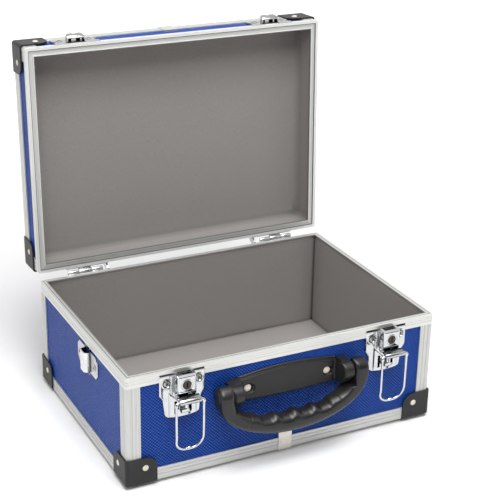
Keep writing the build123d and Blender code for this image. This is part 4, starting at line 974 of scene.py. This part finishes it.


# %% [markdown]
# The latch plate has square shoulders over a foot that narrows and ends in a bow. Its top leans back to the
# rim, a ring is pressed round each rivet, and flutes stiffen it beside the lock box. Below, an apron bulges
# forward, its top edge falling from both sides to the middle, with two slots in it. Height alone would leave
# the slots as bright as the plate, because chrome mirrors even there. So each point also carries a number
# for how much painted shade it has, deepest in the slots, and the finish turns dark by it.

# %% The latch plates
PLATE_HALF = 22.2
PLATE_TOP = SEAM - 2.9
SHOULDER_Z = SEAM - 23.5
NECK_Z = SEAM - 30.7
NECK_HALF = 18.7
FOOT_HALF = 16.3
FOOT_Z = SEAM - 49.4
FOOT_BOW = 2.2
SHEET = 1.3
CORNER_ROUND = 3.2
BEAD_X = 10.7
RING = 4.3
APRON_HALF = 13.3
APRON_RISE = 1.25
CREST_Z = SEAM - 35.3
CREST_SLOPE = 0.96
SLOT_X = 7.15
SLOT_HALF = 1.05
SLOT_Z = SEAM - 37.8
SLOT_TALL = 6.1
SLOT_FLOOR = 0.25
PLATE_GRID = 150
TOP_DARK = [(0.5, 0.5, 0.75), (2.9, 0.45, 0.6)]
RING_LINES = [(0.0, 0.8, 0.4), (-1.0, 0.5, -0.5)]
RING_DARK = [(-1.05, 0.6, 0.9), (0.7, 0.4, 0.3)]
BEAD_LINES = [(0.0, 0.6, 0.5), (-1.1, 0.5, -0.5), (1.1, 0.5, -0.3)]
BEAD_DARK = [(-1.2, 0.6, 0.8), (1.0, 0.4, 0.45)]
APRON_DARK = [(-0.15, 0.35, 0.55)]


def latch_plate(middle):
    """Outline: half width(z), from shoulder to neck to foot, over a bowed bottom. Height: a sum of steps."""
    u, v = np.meshgrid(np.linspace(-1.0, 1.0, PLATE_GRID), np.linspace(0.0, 1.0, PLATE_GRID))
    turned = np.clip((np.abs(u) - 0.8) / 0.2, 0.0, 1.0)
    bottom = FOOT_Z + FOOT_BOW * u**2 + CORNER_ROUND * (1.0 - np.sqrt(1.0 - turned**2))
    z = bottom + (PLATE_TOP - bottom) * v
    lower = FOOT_HALF + (NECK_HALF - FOOT_HALF) * np.clip((z - FOOT_Z) / (NECK_Z - FOOT_Z), 0.0, 1.0)
    width = lower + (PLATE_HALF - NECK_HALF) * smooth(z, NECK_Z, SHOULDER_Z)
    x = u * width
    side = np.abs(x)
    edge = np.minimum(np.minimum(width - side, PLATE_TOP - z), z - bottom)
    under_top = PLATE_TOP - z
    height = SHEET + 0.9 * smooth(edge, -0.2, 1.0) - 0.8 * (1.0 - smooth(under_top, 0.4, 2.9))
    # Painted shade: under the top edge, round the rings, beside the flutes, along the apron and in the slots.
    recess_shade = pressed(under_top, TOP_DARK)
    ring = np.hypot(side - RIVET_X, z - RIVET_Z) - RING
    height += pressed(ring, RING_LINES)
    recess_shade += pressed(ring, RING_DARK)
    fluted = smooth(z, SHOULDER_Z - 3.0, SHOULDER_Z + 1.0) * smooth(under_top, 3.0, 4.5)
    bead = side - BEAD_X
    height += fluted * pressed(bead, BEAD_LINES)
    recess_shade += fluted * pressed(bead, BEAD_DARK)
    crest = CREST_Z + CREST_SLOPE * side
    inside = np.minimum(np.minimum(APRON_HALF - side, (crest - z) * 0.72), z - bottom - 0.8)
    height += APRON_RISE * smooth(inside, 0.0, 1.0)
    recess_shade += pressed(inside, APRON_DARK) * (z > bottom + 1.2)
    slot = np.maximum(np.abs(side - SLOT_X) - SLOT_HALF, np.abs(z - SLOT_Z) - SLOT_TALL)
    height -= (height - SLOT_FLOOR) * (1.0 - smooth(slot, -0.15, 0.25))
    recess_shade = np.maximum(recess_shade, 1.0 - smooth(slot, -0.05, 0.3))
    return *relief(x + middle, z, height, SKIN_FRONT), recess_shade


CATCH_THICK = 1.0
CATCH_HALF = 3.6
CATCH_FACE = FRONT - 2.2 - CATCH_THICK / 2
STEM_TOP = SEAM - 35.5
BEND_Z = SEAM - 39.5
BEND = 2.5


def catch_strip(middle):
    """The J-shaped catch: a strip whose centre line runs down, then round a half circle outward."""
    stem = np.linspace(STEM_TOP, BEND_Z, 8)[:-1]
    turn = np.linspace(0.0, 1.12 * math.pi, 26)
    line_y = np.concatenate([np.full(len(stem), CATCH_FACE), CATCH_FACE - BEND * (1.0 - np.cos(turn))])
    line_z = np.concatenate([stem, BEND_Z - BEND * np.sin(turn)])
    ahead = unit(np.gradient(np.stack([line_y, line_z], axis=1), axis=0))
    across = np.array([-1.0, -0.9, 0.9, 1.0, 1.0, 0.9, -0.9, -1.0])
    through = CATCH_THICK / 2 * np.repeat([-1.0, 1.0], 4)
    x = middle + CATCH_HALF * across + 0.0 * line_y[:, None]
    y = line_y[:, None] + through * ahead[:, 1:]
    z = line_z[:, None] - through * ahead[:, :1]
    return stack(np.stack([x, y, z], axis=-1))


lock_low, lock_high = low_high("lock_box_left")
LOCK_FACE = float(lock_low[1])
LOCK_HALF = float(lock_high[0] - lock_low[0]) / 2 - 1.2
LOCK_HIGH = float(lock_high[2]) - 1.6
LOCK_LOW = LOCK_HIGH - 14.6
LOCK_SKIN = 0.3
LOCK_FLOOR = 0.02
LOCK_GRID = 90
LOCK_HOLE = 4.0
LOCK_LINES = [(4.9, 0.8, 0.25)]
LOCK_DARK = [(5.6, 0.4, 0.5)]
NOTCH_X = 3.2
NOTCH_TALL = 2.3
NOTCH_SLOPE = 1.2
CYLINDER_Z = float(pivot("lock_turn_left")[2])


def lock_face(middle):
    """The stamped front of the lock box: a raised ring round the cylinder, and a notch in its lower edge."""
    across = np.linspace(-LOCK_HALF, LOCK_HALF, LOCK_GRID)
    x, z = np.meshgrid(across, np.linspace(LOCK_LOW, LOCK_HIGH, LOCK_GRID))
    edge = np.minimum(np.minimum(LOCK_HALF - np.abs(x), LOCK_HIGH - z), z - LOCK_LOW)
    ring = np.hypot(x, z - CYLINDER_Z)
    notch = np.abs(x - NOTCH_X) - NOTCH_SLOPE * (LOCK_LOW + NOTCH_TALL - z)
    height = LOCK_SKIN * smooth(edge, -0.1, 0.6) + pressed(ring, LOCK_LINES)
    # Painted shade in the cylinder's hole, in the notch and along the ring.
    sunk = np.maximum(1.0 - smooth(ring, LOCK_HOLE, LOCK_HOLE + 0.3), 1.0 - smooth(notch, -0.2, 0.2))
    recess_shade = np.maximum(sunk, pressed(ring, LOCK_DARK))
    return *relief(x + middle, z, height * (1.0 - sunk) + LOCK_FLOOR, LOCK_FACE), recess_shade


for side, middle in zip(("left", "right"), LATCH_MIDDLES):
    stands_for = [f"latch_plate_{side}"]
    add_piece(f"latch_backing_{side}", latch_plate(middle), chrome, "base", stands_for)
    add_piece(f"lock_face_{side}", lock_face(middle), chrome, "base")
    add_piece(f"latch_catch_{side}", catch_strip(middle), chrome, "base", stands_for)

# %% [markdown]
# The handle's back plate is moulded in one: an arched plate with a thin raised line inside its edge, two sunk
# seats for the rivets, and at each end a fat knuckle for the pin. Seen from the front it is again a relief.
# Across the knuckle's inner side the height jumps, so the columns crowd together there, and the rows do under
# the top edge.

# %% The handle's back plate
PLATE_END = 52.0
KNUCKLE_END = 62.5
PIVOT_Y, PIVOT_Z = pivot("handle_swing")[1:].tolist()
PIVOT_OUT = SKIN_FRONT - PIVOT_Y
KNUCKLE = 8.0
FACE_END = 48.8
ARCH_HALF = 15.0
ARCH_DROP = 7.0
ARCH_LIFT = 2.5
FLANGE = 0.8
FLANGE_ROUND = 0.9
FACE_RISE = 2.3
TOP_LINE = [(3.3, 0.7, 0.25)]
SEAT_ROUND = 4.4
SEAT_DARK = [(4.7, 0.4, 0.6)]
SEAT_FLOOR = 2.6
HOLLOW_LEFT = -38.4
HOLLOW_RIGHT = 44.6
HOLLOW_DROP = 2.3
HEEL_RISE = -4.8
HEEL_SLOPE = 0.83
KNUCKLE_LEAST = 3.0
KNUCKLE_ROUND = 1.3


def handle_plate():
    """Height: a flange, a step up to the face, two sunk seats, a hollow by each, a knuckle at each end."""
    inner = np.linspace(0.3 - FACE_END, FACE_END - 0.3, 176)
    jump = np.linspace(FACE_END, PLATE_END + 1.2, 16)
    outer = np.linspace(PLATE_END + 1.6, KNUCKLE_END, 16)
    x = np.concatenate([-outer[::-1], -jump[::-1], inner, jump, outer])[None, :]
    side = np.abs(x)
    bow = (x / KNUCKLE_END) ** 2
    bottom = PIVOT_Z - ARCH_HALF + ARCH_LIFT * bow
    top = PIVOT_Z + ARCH_HALF - ARCH_DROP * bow
    near_top = top - np.concatenate([np.linspace(0.0, 1.4, 8), np.linspace(1.55, 4.4, 26)])[::-1, None]
    body = np.linspace(0.0, 1.0, 60)[:-1, None]
    z = np.concatenate([bottom + (near_top[:1] - bottom) * body, near_top])
    side = side + 0.0 * z
    x = x + 0.0 * z
    low_edge = z - bottom
    top_edge = top - z
    rise = z - PIVOT_Z
    height = FLANGE + smooth(top_edge, -0.2, 0.8) + FACE_RISE * smooth(top_edge, 2.2, 3.1)
    height += pressed(top_edge, TOP_LINE) - FLANGE_ROUND * (1.0 - smooth(low_edge, -0.2, 1.4))
    height -= 0.7 * bell(side - FACE_END, 2.6) * (side < PLATE_END - 1.0)
    seat = np.hypot(side - HANDLE_RIVET_X, z - HANDLE_RIVET_Z)
    height -= (height - SEAT_FLOOR) * (1.0 - smooth(seat, SEAT_ROUND, 5.1))
    barrel = PIVOT_OUT + np.sqrt(np.clip(KNUCKLE**2 - rise**2, 0.0, None))
    heel = PIVOT_OUT - 0.5 + HEEL_SLOPE * (rise + 13.0)
    knuckle = np.where(rise < HEEL_RISE, np.minimum(heel, PIVOT_OUT + KNUCKLE), barrel)
    knuckle = np.maximum(knuckle, KNUCKLE_LEAST)
    knuckle = knuckle - KNUCKLE_ROUND * (1.0 - smooth(side - PLATE_END, -0.4, 1.8))
    knuckle = knuckle - KNUCKLE_ROUND * (1.0 - smooth(KNUCKLE_END - side, 0.0, 1.4))
    hollow = np.hypot(np.minimum(np.abs(x - HOLLOW_LEFT), np.abs(x - HOLLOW_RIGHT)), rise + HOLLOW_DROP)
    height -= 1.0 - smooth(hollow, 3.6, 4.4)
    end = smooth(side, PLATE_END - 1.9, PLATE_END - 0.1)
    height = height + (knuckle - height) * end
    # Painted shade in the hollow beside each rivet and round each seat's edge.
    shade = 1.0 - smooth(hollow, 3.8, 4.5) + pressed(seat, SEAT_DARK)
    return *relief(x, z, height, SKIN_FRONT), shade


add_piece("handle_back_plate", handle_plate(), plate_black, "base", ["handle_plate"])

# %% [markdown]
# The grip is a soft bar bent into an arch. Its centre line is a superellipse from pin to pin, carried on
# upward past each pin, and its section is a superellipse too, squarer in the arms and rounder where the hand
# closes on it. Four shallow hollows for the fingers cut into the inner side. Above the knuckles' undersides
# nothing may come nearer the middle than the arms' inner faces, which gives the small step there.

# %% The grip
ARM_INNER = 62.9
ARM_WIDE = 14.5
EYE = 10.4
GRIP_DROP = 36.4
GRIP_LEAN = 3.0
GRIP_SQUARE = 2.3
BAR_HALF = 10.4
BAR_DEEP = 10.0
STEP_Z = PIVOT_Z - 13.7
EYE_ROUND = 5.5
FINGER_PITCH = 20.8
FINGER_DEEP = 2.7
FINGER_END = 37.0
MOULD_LINE_X = 52.0
MOULD_LINE_DEEP = 0.4
ARM_SQUARE = 4.0
BAR_SQUARE = 2.25
ARM_ROWS = 21
GRIP_SIDES = 56


def power(value, exponent):
    """A power that keeps the sign, for the curves of a superellipse."""
    return np.sign(value) * np.abs(value) ** exponent


def from_end_to_end(arm, bar, sign=1.0):
    """The values of one arm, of the bar, and of the other arm, where they come back with a sign."""
    return np.concatenate([arm, bar, sign * arm[::-1]])


def grip():
    """Rows down one arm, along the arched bar and up the other arm, each row one superellipse."""
    rise = EYE * np.sin(np.linspace(1.53, 0.0, ARM_ROWS + 1))[:-1]
    corner = np.clip(rise - (EYE - EYE_ROUND), 0.0, EYE_ROUND)
    wide = ARM_WIDE - EYE_ROUND + np.sqrt(EYE_ROUND**2 - corner**2)
    arm_x = -(ARM_INNER + wide / 2)
    turn = np.linspace(0.0, math.pi, 301)
    span = ARM_INNER + ARM_WIDE / 2
    bar_x = -span * power(np.cos(turn), 2 / GRIP_SQUARE)
    bar_z = PIVOT_Z - GRIP_DROP * power(np.sin(turn), 2 / GRIP_SQUARE)
    bar_y = PIVOT_Y - GRIP_LEAN * np.sin(turn) ** 2
    belly = np.sin(turn) ** 7
    bar_half = ARM_WIDE / 2 + (BAR_HALF - ARM_WIDE / 2) * belly
    arm_deep = np.sqrt(EYE**2 - rise**2)
    bar_deep = EYE + (BAR_DEEP - EYE) * np.sin(turn)
    bar_square = BAR_SQUARE + (ARM_SQUARE - BAR_SQUARE) * (1 - np.sin(turn) ** 2) ** 2
    even = np.ones(ARM_ROWS)
    x = from_end_to_end(arm_x, bar_x, -1.0)
    y = from_end_to_end(PIVOT_Y * even, bar_y)
    z = from_end_to_end(PIVOT_Z + rise, bar_z)
    half = from_end_to_end(wide / 2, bar_half)
    deep = from_end_to_end(arm_deep, bar_deep)
    square = from_end_to_end(ARM_SQUARE * even, bar_square)
    ahead_x = from_end_to_end(0.0 * even, np.gradient(bar_x))
    ahead_z = from_end_to_end(-even, np.gradient(bar_z), -1.0)
    ahead = unit(np.stack([ahead_x, ahead_z], axis=1))
    phi = np.arange(GRIP_SIDES)[None, :] * 2 * math.pi / GRIP_SIDES
    inward = power(np.cos(phi), 2 / square[:, None])
    frontward = power(np.sin(phi), 2 / square[:, None])
    finger = x / FINGER_PITCH
    ridge = np.abs(finger - np.round(finger))
    hollow = FINGER_DEEP * smooth(ridge, 0.02, 0.34) * (1.0 - smooth(np.abs(x), FINGER_END, FINGER_END + 6.0))
    line = MOULD_LINE_DEEP * bell(np.abs(x) - MOULD_LINE_X - 0.12 * (z - PIVOT_Z), 0.9)[:, None]
    palm = np.clip(inward, 0.0, 1.0)
    reach = (half[:, None] - line) * inward - hollow[:, None] * palm**1.5
    side = (deep[:, None] - line) * frontward * (1.0 - 0.035 * hollow[:, None] * palm)
    px = x[:, None] - ahead[:, 1:] * reach
    pz = z[:, None] + ahead[:, :1] * reach
    py = y[:, None] - side
    above = smooth(pz, STEP_Z - 0.5, STEP_Z + 0.3)
    limit = np.where(np.abs(px) < ARM_INNER, ARM_INNER - np.abs(px), 0.0)
    px = px + np.sign(px) * limit * above
    return stack(np.stack([px, py, pz], axis=-1))


add_piece("handle_grip_bar", grip(), grip_black, "handle", ["handle_grip"], sharp=50.0)

# %% [markdown]
# The felt linings are thin sheets glued to the boards. The base has one strip bent round its four walls and a
# sheet on its floor. The lid has a moulded tray, felt over a stiff backing, with round corners. A strip round
# the walls is a hoop: a thin section carried round a rounded rectangle and joined to itself. Glue never
# lies quite even, so the surface wanders by a tenth of a millimetre.

# %% Felt linings
LINING = 1.3
FIT = 0.05
FELT_COLUMNS = 90
FELT_ROWS = 70
EDGE_CROWD = 0.85
GLUE_WAVE = 0.09
ROOM_HALF_W = HALF_WIDTH - TRIM - BOARD - LINING
ROOM_HALF_D = HALF_DEPTH - TRIM - BOARD - LINING


def rounded_loop(half_w, half_d, radius, per_corner=8, per_side=44):
    """Points round a rounded rectangle, anticlockwise from above, as many on every loop."""
    quarter = np.linspace(0.0, math.pi / 2, per_corner)
    middles = [(half_w - radius, half_d - radius), (radius - half_w, half_d - radius)]
    middles += [(radius - half_w, radius - half_d), (half_w - radius, radius - half_d)]
    arcs = []
    for k, (mx, my) in enumerate(middles):
        angle = quarter + k * math.pi / 2
        arcs.append(np.stack([mx + radius * np.cos(angle), my + radius * np.sin(angle)], axis=1))
    runs = []
    for arc, following in zip(arcs, arcs[1:] + arcs[:1]):
        share = (0.5 - 0.5 * np.cos(np.linspace(0.0, math.pi, per_side)))[1:-1, None]
        runs += [arc, arc[-1] + share * (following[0] - arc[-1])]
    return np.concatenate(runs)


def hoop(section, radius):
    """A closed section of insets and heights carried round the room, each inset on its own rounded loop."""
    loops = []
    for inset, z in section:
        loop = rounded_loop(ROOM_HALF_W - inset, ROOM_HALF_D - inset, max(radius - inset, 0.4))
        loops.append(np.column_stack([loop[:, 0], loop[:, 1] + MIDDLE_Y, np.full(len(loop), z)]))
    return np.stack(loops)


def glue_waves(x, z):
    """A slow wandering of a tenth of a millimetre: the product of two waves of unlike lengths."""
    return GLUE_WAVE * np.sin(x / 23.0 + 0.7 * np.sin(z / 17.0)) * np.cos(z / 29.0 + x / 61.0)


def seam_shade(distance, width, depth):
    """Painted shade along a seam or into a corner of the felt, by the distance from it."""
    return depth * np.exp(-((distance / width) ** 2))


FLOOR_LOW = float(low_high("base_floor_lining")[0][2])
FLOOR_TOP = float(low_high("base_floor_lining")[1][2])
WALL_TOP = float(low_high("base_wall_lining")[1][2])
section = [(-LINING, FLOOR_LOW), (-FIT, FLOOR_LOW)]
section += [(0.0, z) for z in np.linspace(FLOOR_LOW + 0.3, WALL_TOP - 0.4, 24)]
section += [(-0.15, WALL_TOP - 0.1), (-LINING, WALL_TOP)]
rings = hoop(section, 1.2)
aside = rings[..., 0]
along = rings[..., 1] - MIDDLE_Y
up_wall = rings[..., 2]
waves = glue_waves(aside + rings[..., 1], up_wall)
waves[[0, 1, -2, -1]] = 0.0
rings[..., 1] += waves * np.sign(along) * (np.abs(along) > ROOM_HALF_D - 1.0)
rings[..., 0] += waves * np.sign(aside) * (np.abs(aside) > ROOM_HALF_W - 1.0)
corner = np.hypot(ROOM_HALF_W - np.abs(rings[..., 0]), ROOM_HALF_D - np.abs(rings[..., 1] - MIDDLE_Y))
# Painted shade: a narrow dark line and a broad shade into each upright corner, and darker along the wall's
# top and where it meets the floor.
shade = seam_shade(corner, 2.0, 0.7) + seam_shade(corner, 14.0, 0.2)
shade += seam_shade(up_wall - WALL_TOP, 1.5, 0.5) + seam_shade(up_wall - FLOOR_TOP, 2.0, 0.4)
form = (rings.reshape(-1, 3), quads(len(rings), rings.shape[1], wrap_rows=True), shade)
wall_felt = add_piece("base_wall_felt", form, lining_felt, "base", ["base_wall_lining"])


def flat_felt(half_w, half_d, low, top):
    """A felt sheet on a board: a closed relief with rounded edges, where its points crowd a little."""
    u, v = np.meshgrid(np.linspace(-1.0, 1.0, FELT_COLUMNS), np.linspace(-1.0, 1.0, FELT_ROWS))
    x = half_w * power(u, EDGE_CROWD)
    y = MIDDLE_Y + half_d * power(v, EDGE_CROWD)
    edge = np.minimum(half_w - np.abs(x), half_d - np.abs(y - MIDDLE_Y))
    height = (top - low) - 0.4 * (1.0 - smooth(edge, -0.3, 1.2))
    height += glue_waves(x, y) * smooth(edge, 0.0, 8.0)
    points, faces = relief(x, y, height, 0.0)
    # Painted shade along the sheet's edges, a narrow dark band and a broad faint one.
    shade = seam_shade(edge, 2.5, 0.5) + seam_shade(edge, 18.0, 0.15)
    return np.stack([points[:, 0], points[:, 2], low - points[:, 1]], axis=1), faces, shade


form = flat_felt(ROOM_HALF_W - FIT, ROOM_HALF_D - FIT, FLOOR_LOW, FLOOR_TOP)
floor_felt = add_piece("base_floor_felt", form, lining_felt, "base", ["base_floor_lining"])

# %% [markdown]
# The lid's tray is one moulded sheet, so its surface is one grid of loops: up the wall, round a cove of a few
# millimetres and across the ceiling to the middle. The loops shrink towards the middle, and the last one is
# closed by a single flat polygon. Solidify then gives the backing its thickness, away from the room.

# %% The lid's felt tray
LID_CORNER = 6.0
COVE = 4.0
HALF_GAP = 0.3
RIM_THICK = 2.2
TRAY_WALL = 1.2
CEILING = LID_TOP - TRIM - BOARD - LINING
TRAY_LOW = SEAM + HALF_GAP + RIM_THICK


def lid_tray():
    """Loops of inset and height: the wall, a quarter circle of cove, then the ceiling."""
    wall_z = np.linspace(TRAY_LOW, CEILING - COVE, 10)
    turn = np.linspace(0.0, math.pi / 2, 9)[1:]
    cove = [(COVE * (1 - math.cos(t)), CEILING - COVE + COVE * math.sin(t)) for t in turn]
    ceiling = [(inset, CEILING) for inset in np.linspace(COVE + 4.0, ROOM_HALF_D - 2.0, 40)]
    loops = []
    shade = []
    for inset, z in [(0.0, z) for z in wall_z] + cove + ceiling:
        half_w = ROOM_HALF_W - inset
        half_d = ROOM_HALF_D - inset
        loop = rounded_loop(half_w, half_d, max(LID_CORNER - inset, 1.0))
        wander = glue_waves(loop[:, 0], loop[:, 1]) * smooth(np.array(inset), COVE, COVE + 10.0)
        corner = np.hypot(half_w - np.abs(loop[:, 0]), half_d - np.abs(loop[:, 1]))
        turned = math.hypot(inset - COVE / 2, CEILING - COVE / 2 - z)
        # Painted shade in the wall's corners, round the cove and along the tray's low edge.
        dark = seam_shade(corner, 9.0, 0.3) * (inset < COVE) + seam_shade(turned, 3.0, 0.25)
        shade.append(dark + seam_shade(z - TRAY_LOW, 1.0, 0.7))
        loops.append(np.column_stack([loop[:, 0], loop[:, 1] + MIDDLE_Y, z + wander]))
    rings = np.stack(loops)
    count, sides = rings.shape[:2]
    faces = [face[::-1] for face in quads(count, sides)]
    faces.append(list(range((count - 1) * sides, count * sides))[::-1])
    return opened(rings).reshape(-1, 3), faces, np.stack(shade)


stands_for = ["lid_liner_tray"]
tray_felt = add_piece("lid_felt_tray", lid_tray(), lining_felt, "lid", stands_for, sharp=60.0)
backing = tray_felt.modifiers.new("backing", "SOLIDIFY")
backing.thickness = TRAY_WALL * MM
backing.offset = -1.0
